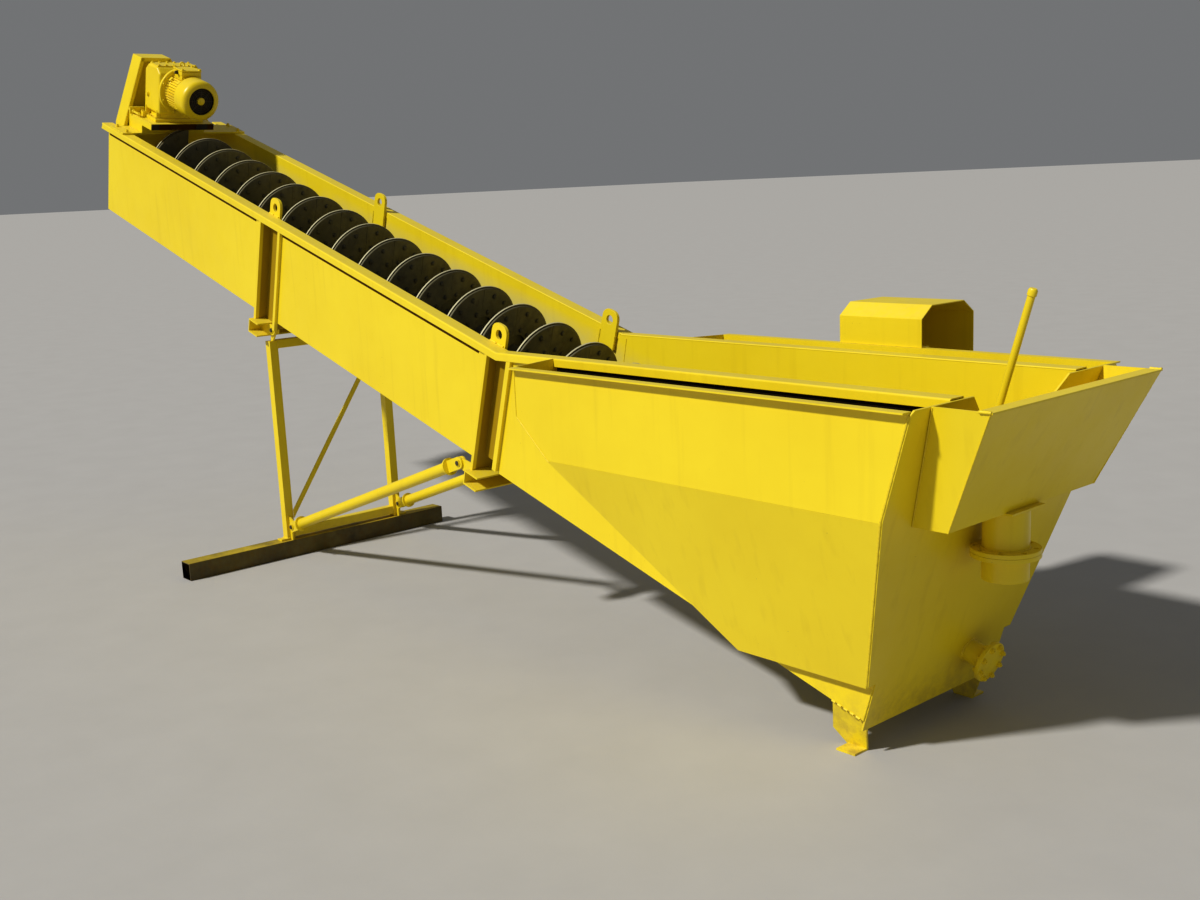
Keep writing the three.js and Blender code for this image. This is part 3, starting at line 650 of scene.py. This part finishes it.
def bolts(name, spots, place, look, head, height, washer, stud):
    """Fasteners on (position, axis) pairs given in a frame."""
    mesh = bpy.data.meshes.new(name)
    mesh.from_pydata([place @ Vector(at) for at, axis in spots], [], [])
    axes = mesh.attributes.new("axis", "FLOAT_VECTOR", "POINT")
    turn = place.to_3x3()
    for item, (at, axis) in zip(axes.data, spots):
        item.vector = turn @ Vector(axis)
    made = run_tree(add_object(name, mesh), FASTENERS, {
        "Head Radius": head, "Head Height": height, "Washer Radius": washer, "Stud Length": stud,
        "Material": finish[look]})
    set_smooth(made.data, 40)
    carry(made, look)


def welds(name, paths, place, radius, ripple=0.009):
    """Weld beads along polylines given in a frame."""
    curve = bpy.data.curves.new(name, "CURVE")
    curve.dimensions = "3D"
    for path in paths:
        spline = curve.splines.new("POLY")
        spline.points.add(len(path) - 1)
        for point, at in zip(spline.points, path):
            point.co = (*(place @ Vector(at)), 1.0)
    made = run_tree(add_object(name, curve), BEADS, {
        "Bead Radius": radius, "Ripple Length": ripple, "Material": finish["weld"]})
    set_smooth(made.data, 75)
    carry(made, "weld")


# Carried-over nodes: softened edges and finishes
def both(*parts):
    """The names of the near and the far node of each part."""
    return [f"{side}_{part}" for part in parts for side in ("near", "far")]


node_look = dict.fromkeys(frame["nodes"], "shell")
for look, nodes in (
        ("frame", ("upper_crossmember", "bend_crossmember", "drive_bridge", "drive_base", "chain_guard",
                   "top_bar", "bottom_bar", "diagonal_brace", *both("post", "pipe_brace"))),
        ("drive", ("top_bearing", "tail_bearing", "gearbox", "motor", "fan_cowl", "terminal_box")),
        ("inside", ("trough_bottom", *both("inner_wall"))),
        ("rib", both("upper_rib", "bend_rib")),
        ("screw", ("screw_shaft", "screw_flight")),
        ("shoe", ("wear_shoes",)),
        ("beam", ("skid_beam",))):
    node_look.update(dict.fromkeys(nodes, look))
for node, look in node_look.items():
    surfaces = frame["nodes"][node].data.materials
    surfaces.clear()
    surfaces.append(finish[look])


def drill(obj, spots, radius, depth):
    """Cut a round hole through the piece at each (position, axis)."""
    bits = Piece("drill")
    for at, axis in spots:
        turn = Vector(axis).to_track_quat("X", "Z").to_matrix().to_4x4()
        bits.drum(-depth, depth, radius, 20, Matrix.Translation(at) @ turn)
    cutter = bits.stand()
    cut = obj.modifiers.new("holes", "BOOLEAN")
    cut.object = cutter
    cut.solver = "EXACT"
    done = apply_modifiers(obj)
    bpy.data.objects.remove(cutter)
    return done


def softened(node, width, segments=2, holes=None):
    """A copy of a CAD node with its folds and cut edges rounded, standing for the node."""
    plate = Piece(node + "_plate")
    plate.copy(node)
    made = add_mesh(plate.name, plate.bm)
    if holes:
        made = drill(made, *holes)
    body = "screw" if node.startswith("screw") else "frame"
    settle(made, node_look[node], body, bevel=width, segments=segments, smooth=35, replaces=(node,))


def folded_rim(node):
    """A rim squared at its head end, with its fold, its inner edge and its lip's lower edge rounded."""
    rim = Piece(node + "_fold")
    rim.copy(node)
    to_level, to_slope = LEVEL.inverted(), TILT.inverted()
    for vertex in rim.bm.verts:
        at = to_slope @ vertex.co
        if at.x < HEAD_END + 0.125 and at.z < -0.02:
            vertex.co = TILT @ Vector((HEAD_END, at.y, at.z))

    def runs_at(edge, y, depth):
        for vertex in edge.verts:
            heights = (to_level @ vertex.co).z, (to_slope @ vertex.co).z
            if abs(abs(vertex.co.y) - y) > 5e-4 or min(abs(height + depth) for height in heights) > 5e-4:
                return False
        return True

    for y, depth, radius, segments in ((RIM_OUTER, 0.0, 0.008, 5), (RIM_INNER, 0.0, 0.005, 4),
                                       (RIM_OUTER, RIM_LIP, 0.002, 2)):
        edges = [edge for edge in rim.bm.edges if runs_at(edge, y, depth)]
        bmesh.ops.bevel(rim.bm, geom=edges, offset=radius, segments=segments, profile=0.5, affect="EDGES")
    rim.settle("shell", smooth=35, replaces=(node,))


for node in both("rim"):
    folded_rim(node)
for node in ("overflow_box", "feed_hood", *both("tank_side", "tank_bottom"), "end_wall",
             *both("upper_lug", "bend_lug", "foot"), "upper_crossmember", "bend_crossmember",
             "drive_bridge", "drive_base", "chain_guard"):
    softened(node, SHEET_EDGE)
for node in (*both("post"), "top_bar", "bottom_bar"):
    softened(node, TUBE_FOLD, segments=3)
softened("skid_beam", BEAM_FOLD, segments=3)
softened("diagonal_brace", SHEET_EDGE)
for node in (*both("pipe_brace"), "screw_shaft", "trough_bottom", "drain_branch", "upper_end_plate",
             "top_bearing", "tail_bearing"):
    softened(node, FINE_EDGE)
for side in ("near", "far"):
    for sheet in ("upper_rib", "bend_rib", "head_panel", "middle_panel", "tank_panel"):
        softened(f"{side}_{sheet}", FINE_EDGE)
    softened(f"{side}_inner_wall", 0)
hole_circle, hole_radius, hole_depth = 0.1035, 0.0095, 0.03
holes = circle_of((*OUTLET, -0.6), hole_circle, 8, "Z", HALF_EIGHTH)
holes = [(LEVEL @ at, axis) for at, axis in holes]
for node in ("outlet_pipe", "outlet_stub"):
    softened(node, OUTLET_EDGE, holes=(holes, hole_radius, hole_depth))


# Screw: blade, wear shoes and their bolts
def carry_on_screw(made, look, smooth, replaces=()):
    """Put a piece made along the screw's axis in its place."""
    made.data.transform(SCREW)
    set_smooth(made.data, smooth)
    carry(made, look, "screw", replaces)


def screw_blade():
    """The whole blade in one piece, from the tube out."""
    holder = add_object("screw_blade", bpy.data.meshes.new("screw_blade"))
    made = run_tree(holder, BLADE, {
        "Inner Radius": BLADE_INNER, "Outer Radius": BLADE_OUTER, "Pitch": PITCH, "Turns": BLADE_TURNS,
        "Start": BLADE_START - BLADE_THICKNESS / 2, "Thickness": BLADE_THICKNESS,
        "Steps": int(BLADE_TURNS * BLADE_STEPS) + 1, "Rings": 3, "Material": finish["screw"]})
    carry_on_screw(made, "screw", 50, ("screw_flight",))


def wind(template, look, replaces=()):
    """Set copies of a piece out along the blade, one for each wear shoe."""
    made = run_tree(template.stand(), WINDING, {
        "Count": int(BLADE_TURNS * SHOES_PER_TURN), "Per Turn": SHOES_PER_TURN, "Pitch": PITCH,
        "Start": BLADE_START, "Material": finish[look]})
    carry_on_screw(made, look, 40, replaces)


def helix_point(angle, radius, along):
    """A point on the blade, or off it by a distance along the axis."""
    s = PITCH * angle / WHOLE_TURN + along
    return Vector((s, -radius * math.sin(angle), radius * math.cos(angle)))


def shoe_template():
    """One wear shoe: a helical sector with a narrow joint at each end and a broken outer edge."""
    shoe = Piece("shoe_ring")
    span = WHOLE_TURN / SHOES_PER_TURN
    joint_width, at_radius, steps = 0.0018, 0.25, 9
    joint = joint_width / at_radius
    angles = [joint / 2 + (span - joint) * i / steps for i in range(steps + 1)]

    def rows(radii, along):
        return [shoe.points(helix_point(angle, radius, along) for radius in radii) for angle in angles]

    back = rows((SHOE_INNER, 0.2, SHOE_OUTER), SHOE_BACK)
    side = rows((SHOE_OUTER,), SHOE_FACE - 0.0022)
    face = rows((SHOE_INNER, 0.2, SHOE_OUTER - 0.0025), SHOE_FACE)
    for i in range(steps):
        for k in range(2):
            shoe.faces((back[i][k], back[i + 1][k], back[i + 1][k + 1], back[i][k + 1]),
                       (face[i][k], face[i][k + 1], face[i + 1][k + 1], face[i + 1][k]))
        shoe.faces((back[i][2], back[i + 1][2], side[i + 1][0], side[i][0]),
                   (side[i][0], side[i + 1][0], face[i + 1][2], face[i][2]),
                   (back[i][0], face[i][0], face[i + 1][0], back[i + 1][0]))
    for i in (0, steps):
        shoe.faces((*back[i], side[i][0], *reversed(face[i])))
    return shoe


def shoe_bolts():
    """Hex bolts on washers with nuts behind the blade: two near the rim, two near the inner edge."""
    piece = Piece("shoe_bolts")
    middle = math.pi / SHOES_PER_TURN
    for radius, spread in ((0.243, 0.2), (0.157, 0.24)):
        for side in SIDES:
            angle = middle + side * spread
            front = placed(helix_point(angle, radius, SHOE_FACE), angle * 1.7)
            piece.drum(-0.004, 0.0012, 0.0145, 12, front)
            piece.turned([(-0.004, 0), (-0.004, 0.0108), (0.0062, 0.0108), (0.0075, 0.0088), (0.0075, 0)],
                         6, front)
            back = placed(helix_point(angle, radius, -BLADE_THICKNESS / 2), angle)
            piece.drum(0.002, -0.0095, 0.0108, 6, back)
            piece.drum(0.002, -0.016, 0.006, 8, back)
    return piece


screw_blade()
wind(shoe_template(), "shoe", ("wear_shoes",))
wind(shoe_bolts(), "screw")


# Drive
def gear_case():
    """The gearbox: its case, foot, covers, oil plug and bolts."""
    case = Piece("gear_case", DRIVE)
    case.extruded([(-0.215, -0.15), (-0.0003, -0.15), (-0.0003, 0.105), (-0.045, 0.144), (-0.17, 0.144),
                   (-0.215, 0.105)], -0.145, 0.145)
    case.settle("drive", bevel=0.016, segments=4, replaces=("gearbox",))
    foot = Piece("gear_foot", DRIVE)
    foot.block((-0.165, -0.135, 0.14), (-0.05, 0.135, 0.15))
    foot.block((-0.225, -0.164, -0.1997), (-0.004, 0.164, -0.18))
    foot.block((-0.205, -0.119, -0.185), (-0.02, 0.119, -0.145))
    for x in (-0.185, -0.03):
        for near, far in ((-0.15, -0.119), (0.119, 0.15)):
            foot.block((x - 0.007, near, -0.18), (x + 0.007, far, -0.125))
    foot.settle("drive", bevel=0.003)
    covers = Piece("gear_covers", DRIVE)
    covers.turned([(-0.213, 0), (-0.213, 0.1), (-0.232, 0.1), (-0.238, 0.094), (-0.238, 0.06),
                   (-0.244, 0.056), (-0.244, 0)], 40)
    covers.turned([(-0.24, 0), (-0.24, 0.03), (-0.29, 0.03), (-0.293, 0.027), (-0.293, 0)], 28)
    covers.settle("drive")
    plug = Piece("gear_plug", DRIVE)
    plug.turned([(-0.004, 0), (-0.004, 0.016), (0.006, 0.016), (0.006, 0.011), (0.013, 0.011), (0.013, 0)],
                18, placed((-0.16, -0.144, -0.05), -QUARTER_TURN, "Z"))
    plug.settle("drive")
    spots = circle_of((-0.238, 0, 0), 0.08, 8, "-X")
    spots += [((x, y, -0.18), AXES["Z"]) for x in (-0.2, -0.1, -0.03) for y in (-0.152, 0.152)]
    spots += [((x, y, 0.15), AXES["Z"]) for x in (-0.155, -0.06)
              for y in (-0.122, -0.075, -0.025, 0.025, 0.075, 0.122)]
    bolts("gear_bolts", spots, DRIVE, "weld", head=0.0075, height=0.006, washer=0.0095, stud=0.007)


def motor_body():
    """The motor's flange and body with its tie lugs, and the fins round it."""
    radius = 0.108
    body = Piece("motor_body", DRIVE)
    body.turned([(0.0, 0), (0.0, 0.15), (0.016, 0.15), (0.02, 0.146), (0.02, 0.118), (0.034, radius),
                 (0.165, radius), (0.165, 0)], 64)
    for angle in (45, 135, 225, 315):
        turn = Matrix.Rotation(math.radians(angle), 4, "X")
        body.block((0.018, -0.014, 0.1), (0.048, 0.014, 0.124), turn)
        body.block((0.128, -0.014, 0.1), (0.16, 0.014, 0.124), turn)
    body.settle("drive", bevel=0.0015, smooth=35, replaces=("motor",))
    holder = add_object("motor_fins", bpy.data.meshes.new("motor_fins"))
    fins = run_tree(holder, FINS, {
        "Fin Count": 44, "Body Radius": radius, "Fin Height": 0.017, "Fin Length": 0.124,
        "Fin Thickness": 0.0035, "Material": finish["drive"]})
    fins.data.transform(DRIVE @ placed((0.097, 0, 0)))
    carry(fins, "drive")


def fan_end():
    """The fan cowl: its shell, a dark disc of painted shade for its unlit inside, the wire grille and the
    hub.
    """
    shell = Piece("cowl_shell", DRIVE)
    shell.turned([(0.165, 0.118), (0.168, 0.1255), (0.262, 0.126), (0.278, 0.123), (0.29, 0.114),
                  (0.297, 0.1), (0.3, 0.086), (0.296, 0.083), (0.29, 0.084), (0.285, 0.098), (0.165, 0.11),
                  (0.165, 0.118)], 72)
    shell.settle("drive", smooth=50, replaces=("fan_cowl",))
    # Painted shade: a dark disc behind the grille stands for the unlit inside of the cowl
    inside_shade = Piece("cowl_inside_shade", DRIVE)
    inside_shade.drum(0.27, 0.275, 0.1, 48)
    inside_shade.settle("black")
    grille = Piece("cowl_grille", DRIVE)
    for radius in (0.034, 0.046, 0.058, 0.07):
        grille.turned(round_path(0.2885, radius, 0.0016, 6), 48)
    for k in range(8):
        turn = Matrix.Rotation(k * math.pi / 4, 4, "X")
        grille.block((0.2865, -0.0014, 0.02), (0.289, 0.0014, 0.088), turn)
    grille.settle("bolt")
    hub = Piece("cowl_hub", DRIVE)
    hub.turned([(0.276, 0), (0.276, 0.024), (0.289, 0.024), (0.293, 0.02), (0.2945, 0)], 32)
    hub.settle("drive", smooth=50)


def motor_fittings():
    """The terminal box with its gland, the lifting eye and the motor's bolts."""
    box = Piece("terminal_case", DRIVE)
    box.block((0.032, -0.06, 0.1), (0.138, 0.06, 0.132))
    box.block((0.025, -0.065, 0.1275), (0.145, 0.065, 0.15))
    box.block((0.023, -0.067, 0.1515), (0.147, 0.067, 0.162))
    box.settle("drive", bevel=0.003, segments=3, replaces=("terminal_box",))
    gland = Piece("cable_gland", DRIVE)
    gland.turned([(-0.004, 0), (-0.004, 0.013), (0.008, 0.013), (0.008, 0.011), (0.019, 0.011), (0.019, 0)],
                 6, placed((0.085, -0.064, 0.138), -QUARTER_TURN, "Z"))
    gland.settle("black")
    eye = Piece("lifting_eye", DRIVE)
    eye.turned(round_path(0.0, 0.0145, 0.0042, 10), 24, placed((0.012, 0, 0.172)))
    eye.turned([(0, 0), (0, 0.012), (0.006, 0.012), (0.008, 0.006), (0.018, 0.006), (0.018, 0)],
               16, placed((0.012, 0, 0.143), -QUARTER_TURN, "Y"))
    eye.settle("drive")
    spots = circle_of((0.02, 0, 0), 0.134, 8, "X", HALF_EIGHTH)
    spots += [((x, y, 0.162), AXES["Z"]) for x in (0.032, 0.138) for y in (-0.058, 0.058)]
    bolts("motor_bolts", spots, DRIVE, "weld", head=0.0085, height=0.008, washer=0.010, stud=0.010)


def guard_pieces():
    """The chain guard's folded lip, its tension studs with their brackets, and the fixing bolts."""
    lip = Piece("guard_lip", TILT)
    width, back, front = 0.024, -4.2065, -4.2035
    outline = [(-0.33, 0.01), (-0.33, -0.4), (-0.23, -0.545), (0.23, -0.545), (0.33, -0.4), (0.33, -0.06),
               (-0.02, 0.45), (-0.218, 0.45)]
    middle = Vector((0, -0.1))
    for first, second in zip(outline, outline[1:] + outline[:1]):
        a, b = Vector(first), Vector(second)
        along = (b - a).normalized()
        inward = Vector((-along.y, along.x))
        if inward.dot(middle - a) < 0:
            inward = -inward
        lip.extruded([a, b, b + inward * width, a + inward * width], back, front, "X")
    lip.settle("frame", smooth=0)
    studs = Piece("tension_studs", TILT)
    for y in (-0.295, -0.235):
        place = placed((-4.19, y, 0.118))
        studs.drum(-0.02, 0.155, 0.007, 12, place)
        for x in (0.02, 0.052, 0.13):
            studs.drum(x, x + 0.011, 0.0125, 6, place)
    studs.settle("weld")
    bracket = Piece("stud_bracket", TILT)
    bracket.block((-4.158, -0.315, 0.1), (-4.146, -0.215, 0.145))
    bracket.block((-4.06, -0.27, 0.1), (-4.05, -0.245, 0.14))
    bracket.settle("frame", bevel=0.0015)
    spots = [((s, y, 0.012), AXES["Z"]) for s in (-4.165, -4.02) for y in (-0.39, 0.39)]
    spots += [((-4.265, side * 0.3305, z), side * AXES["Y"])
              for side, z in ((-1, -0.08), (-1, -0.34), (1, -0.14), (1, -0.34))]
    bolts("guard_bolts", spots, TILT, "frame", head=0.011, height=0.010, washer=0.014, stud=0.018)


gear_case()
motor_body()
fan_end()
motor_fittings()
guard_pieces()


# Flanges, pins and the level pipe
def drain_bolts():
    """Bolt heads on both faces of the blanked drain flange."""
    spots = circle_of((2.401, *DRAIN), 0.066, 8, "X", HALF_EIGHTH)
    spots += circle_of((2.385, *DRAIN), 0.066, 8, "-X", HALF_EIGHTH)
    bolts("drain_bolts", spots, TILT, "weld", head=0.0105, height=0.009, washer=0.0125, stud=0.016)


def hinge_pins():
    """Dark pins with a painted collar on each end and a cotter through the collar."""
    turns = [placed((x, y, z), QUARTER_TURN, "Z")
             for x, z in (HANGER, BRACE_LOW, BRACE_HIGH) for y in (-POST_Y, POST_Y)]
    pins = Piece("hinge_pins", LEVEL)
    for turn in turns:
        pins.turned([(-0.026, 0), (-0.026, 0.0095), (-0.0245, 0.0118), (0.0245, 0.0118), (0.026, 0.0095),
                     (0.026, 0)], 24, turn)
    pins.settle("bolt")
    collars = Piece("hinge_pins_collars", LEVEL)
    for turn in turns:
        for end in SIDES:
            start, stop = sorted((end * 0.0156, end * 0.0195))
            collars.turned([(start, 0.0112), (start, 0.018), (stop, 0.018), (stop, 0.0112), (start, 0.0112)],
                           24, turn)
            cotter = turn @ Matrix.Translation((end * 0.0215, 0, 0)) @ Matrix.Rotation(0.6, 4, "X")
            collars.drum(-0.019, 0.019, 0.0016, 8, cotter @ Matrix.Rotation(QUARTER_TURN, 4, "Y"))
    collars.settle("frame")


def level_pipe():
    """The upright grease pipe over the tail bearing, with its socket and cap."""
    pipe = Piece("level_pipe", TILT)
    pipe.turned([(-0.151, 0), (-0.151, 0.024), (-0.136, 0.024), (-0.136, 0.0136), (0.99, 0.0136),
                 (0.99, 0.0165), (1.008, 0.0165), (1.0148, 0.012), (1.0148, 0)],
                28, placed((2.231, 0, 0), -QUARTER_TURN, "Y"))
    pipe.settle("shell", replaces=("grease_pipe",))


drain_bolts()
hinge_pins()
level_pipe()


# Welds
def stitches(start, end, count, share=0.62):
    """Short beads evenly spaced from start to end."""
    start, end = Vector(start), Vector(end)
    step = (end - start) / count
    return [[start + step * i, start + step * (i + share)] for i in range(count)]


def trough_welds():
    """Seams beside the ribs and at the bend, welds round the end wall and the lugs, and stitches."""
    seams, corners, stitched = [], [], []
    for side in SIDES:
        sheet = side * (SHEET_FACE + 0.0005)
        wall = side * (RIM_INNER - 0.0005)
        tank = side * (TANK_SIDE + 0.0005)
        tail = side * (SHEET_FACE + 0.0015)
        for s, low in ((-2.1955, TROUGH_FOOT), (-1.9575, TROUGH_FOOT), (-0.0785, TROUGH_FOOT),
                       (0.1085, -0.546)):
            seams.append([(s, sheet, -0.05), (s, sheet, low)])
        seams.append([(0.034, wall, -0.012), (0.05, wall, AXIS_N)])
        corners.append([(TAIL_S, tank, 0.675), (TAIL_S, tank, 0.3), (TAIL_S, side * 0.4545, -0.398),
                        (TAIL_S, tail, -0.398), (TAIL_S - 0.001, tail, TROUGH_FOOT)])
        for s in LUGS:
            lug = side * (RIM_INNER + 0.0005)
            stitched += stitches((s - 0.056, lug, 0.001), (s + 0.056, lug, 0.001), 2, 0.8)
            lug = side * (RIM_INNER - 0.0155)
            corners.append([(s - 0.055, lug, -0.02), (s - 0.055, lug, -0.096)])
            corners.append([(s + 0.055, lug, -0.096), (s + 0.055, lug, -0.02)])
        stitched += stitches((2.142, side * SHEET_FACE, -0.561), (2.286, side * SHEET_FACE, -0.561), 5)
    corners.append([(2.3, y, z) for y, z in round_path(*DRAIN, 0.0455, 24)])
    welds("rib_seams", seams, TILT, radius=0.0022, ripple=0.007)
    welds("corner_welds", corners, TILT, radius=0.0046)
    welds("stitch_welds", stitched, TILT, radius=0.0052, ripple=0.006)


def tank_welds():
    """Seams of the side chambers and the overflow box, and rings round the outlet."""
    seams, caps = [], []
    for side in SIDES:
        tank = side * (TANK_SIDE + 0.0005)
        seams.append([(0.4, tank, -0.02), (0.4, tank, -0.222), (0.6, tank, -0.3955)])
        seams.append([(2.6125, side * 0.5405, -0.016), (2.4125, side * 0.4625, -0.437)])
        seams.append([(2.405, side * 0.541, -0.012), (2.274, side * 0.4633, -0.436)])
        caps.append([(2.575, side * 0.541, -0.0085), (2.618, side * 0.541, -0.0085)])
    welds("tank_seams", seams, LEVEL, radius=0.0026, ripple=0.007)
    welds("box_corner_welds", caps, LEVEL, radius=0.0062, ripple=0.006)
    ring = round_path(*OUTLET, 0.0835, 32)
    under_box = [(x, y, -0.4445) for x, y in ring if x > 2.285]
    on_flange = [(x, y, -0.583) for x, y in ring if x > 2.24]
    under_flange = [(x, y, -0.617) for x, y in ring]
    welds("outlet_welds", [under_box, on_flange, under_flange], LEVEL, radius=0.0036)


def leg_welds():
    """Rings round the posts' feet, and beads beside the pin plates and the cross bars."""
    paths = []
    back, front, foot, sole = -2.226, -2.1745, -1.236, -1.2395
    for side in SIDES:
        y = side * POST_Y
        corners = [(back, -0.026), (front + 0.0005, -0.026), (front + 0.0005, 0.026), (back, 0.026)]
        paths.append([(x, y + shift, sole) for x, shift in corners + corners[:1]])
        for lug in (-0.0055, 0.0055):
            paths.append([(front, y + lug, foot), (front, y + lug, -1.11)])
            paths.append([(-2.199, y + lug, -0.0745), (-2.177, y + lug, -0.0745)])
        inner = side * 0.3445
        paths.append([(front, inner, -0.121), (front, inner, -0.071)])
        paths.append([(front, inner, foot), (front, inner, -1.186)])
    welds("leg_welds", paths, LEVEL, radius=0.0032, ripple=0.007)


trough_welds()
tank_welds()
leg_welds()


# Painted shade in dark gaps and on the drive base's front edge
def slot_shade_strips():
    """Painted shade: dark strips on the side sheets under the rim lips, where the side sheets stop short of
    the rims, and a near-black strip in the overflow gap.
    """
    back, front = SHEET_FACE - 0.0002, SHEET_FACE + 0.0008

    def strips(name, place, look, spans, low):
        piece = Piece(name, place)
        for left, right in ((-front, -back), (back, front)):
            for first, last in spans:
                piece.block((first, left, low), (last, right, -0.02))
        piece.settle(look, smooth=0)

    # Painted shade: strips below the rim lips stand for the lip's shadow and the dark gap behind it
    strips("lip_slot_shade", TILT, "slot_painted_shade", ((-4.232, -2.25), (-1.957, -0.139)), -0.058)
    # Painted shade: a near-black strip stands for the unlit chamber seen through the overflow gap
    strips("overflow_void_shade", LEVEL, "void_painted_shade", ((0.408, 2.36),), -0.092)


def base_front():
    """The drive base's front edge painted in shade, and the two dark packing blocks on it."""
    # Painted shade: the base's front face, which lies in the drive's shadow, is covered by a dark strip
    edge = Piece("base_front_shade", TILT)
    edge.block((-3.8602, -0.2985, 0.0612), (-3.8592, 0.1285, 0.0988))
    edge.settle("slot_painted_shade", smooth=0)
    packing = Piece("packing_blocks", TILT)
    for near, far in ((-0.298, -0.25), (0.004, 0.082)):
        packing.block((-3.8597, near, 0.064), (-3.851, far, 0.097))
    packing.settle("black", bevel=0.001, segments=1)


slot_shade_strips()
base_front()


# Floor, light and camera
CAMERA_AT = (7.0711, -4.0996, 2.081)
YAW, PITCH_DOWN, ROLL = math.radians(48.76), math.radians(-11.16), math.radians(-2.64)
FOCAL_PIXELS = 1355.2
PHOTO_WIDTH = 1200
FLOOR_REACH = 600.0


def lay_floor():
    """Pale ground that runs on past the horizon."""
    mesh = bpy.data.meshes.new("floor")
    corners = [(FLOOR_REACH * x, FLOOR_REACH * y, 0) for x, y in ((-1, -1), (1, -1), (1, 1), (-1, 1))]
    mesh.from_pydata(corners, [], [(0, 1, 2, 3)])
    mesh.materials.append(plain_floor("pale_floor"))
    add_object("floor", mesh)


def light_studio():
    """A dim even sky and one soft sun from the near side."""
    world = bpy.data.worlds.new("studio")
    bpy.context.scene.world = world
    world.use_nodes = True
    sky = world.node_tree.nodes["Background"]
    sky.inputs["Color"].default_value = (0.84, 0.86, 0.88, 1)
    sky.inputs["Strength"].default_value = 0.2
    sun = bpy.data.lights.new("key", "SUN")
    sun.energy = 2.95
    sun.angle = math.radians(4)
    sun.color = (1.0, 0.98, 0.94)
    key = add_object("key", sun)
    key.rotation_euler = Vector((0.11, 0.72, -0.69)).to_track_quat("-Z", "Y").to_euler()


def set_camera():
    """The photograph's view."""
    level = math.cos(PITCH_DOWN)
    forward = Vector((-math.sin(YAW) * level, math.cos(YAW) * level, math.sin(PITCH_DOWN)))
    level_right = Vector((math.cos(YAW), math.sin(YAW), 0))
    level_up = level_right.cross(forward)
    right = math.cos(ROLL) * level_right + math.sin(ROLL) * level_up
    up = -math.sin(ROLL) * level_right + math.cos(ROLL) * level_up
    lens = bpy.data.cameras.new("view")
    lens.sensor_width = 36.0
    lens.sensor_fit = "HORIZONTAL"
    lens.lens = FOCAL_PIXELS / PHOTO_WIDTH * lens.sensor_width
    lens.clip_end = 2000
    camera = add_object("view", lens)
    facing = Matrix((right, up, -forward)).transposed().to_4x4()
    camera.matrix_world = Matrix.Translation(CAMERA_AT) @ facing
    bpy.context.scene.camera = camera


lay_floor()
light_studio()
set_camera()
bpy.context.scene.view_settings.view_transform = "Standard"
bpy.context.scene.view_settings.look = "Medium High Contrast"
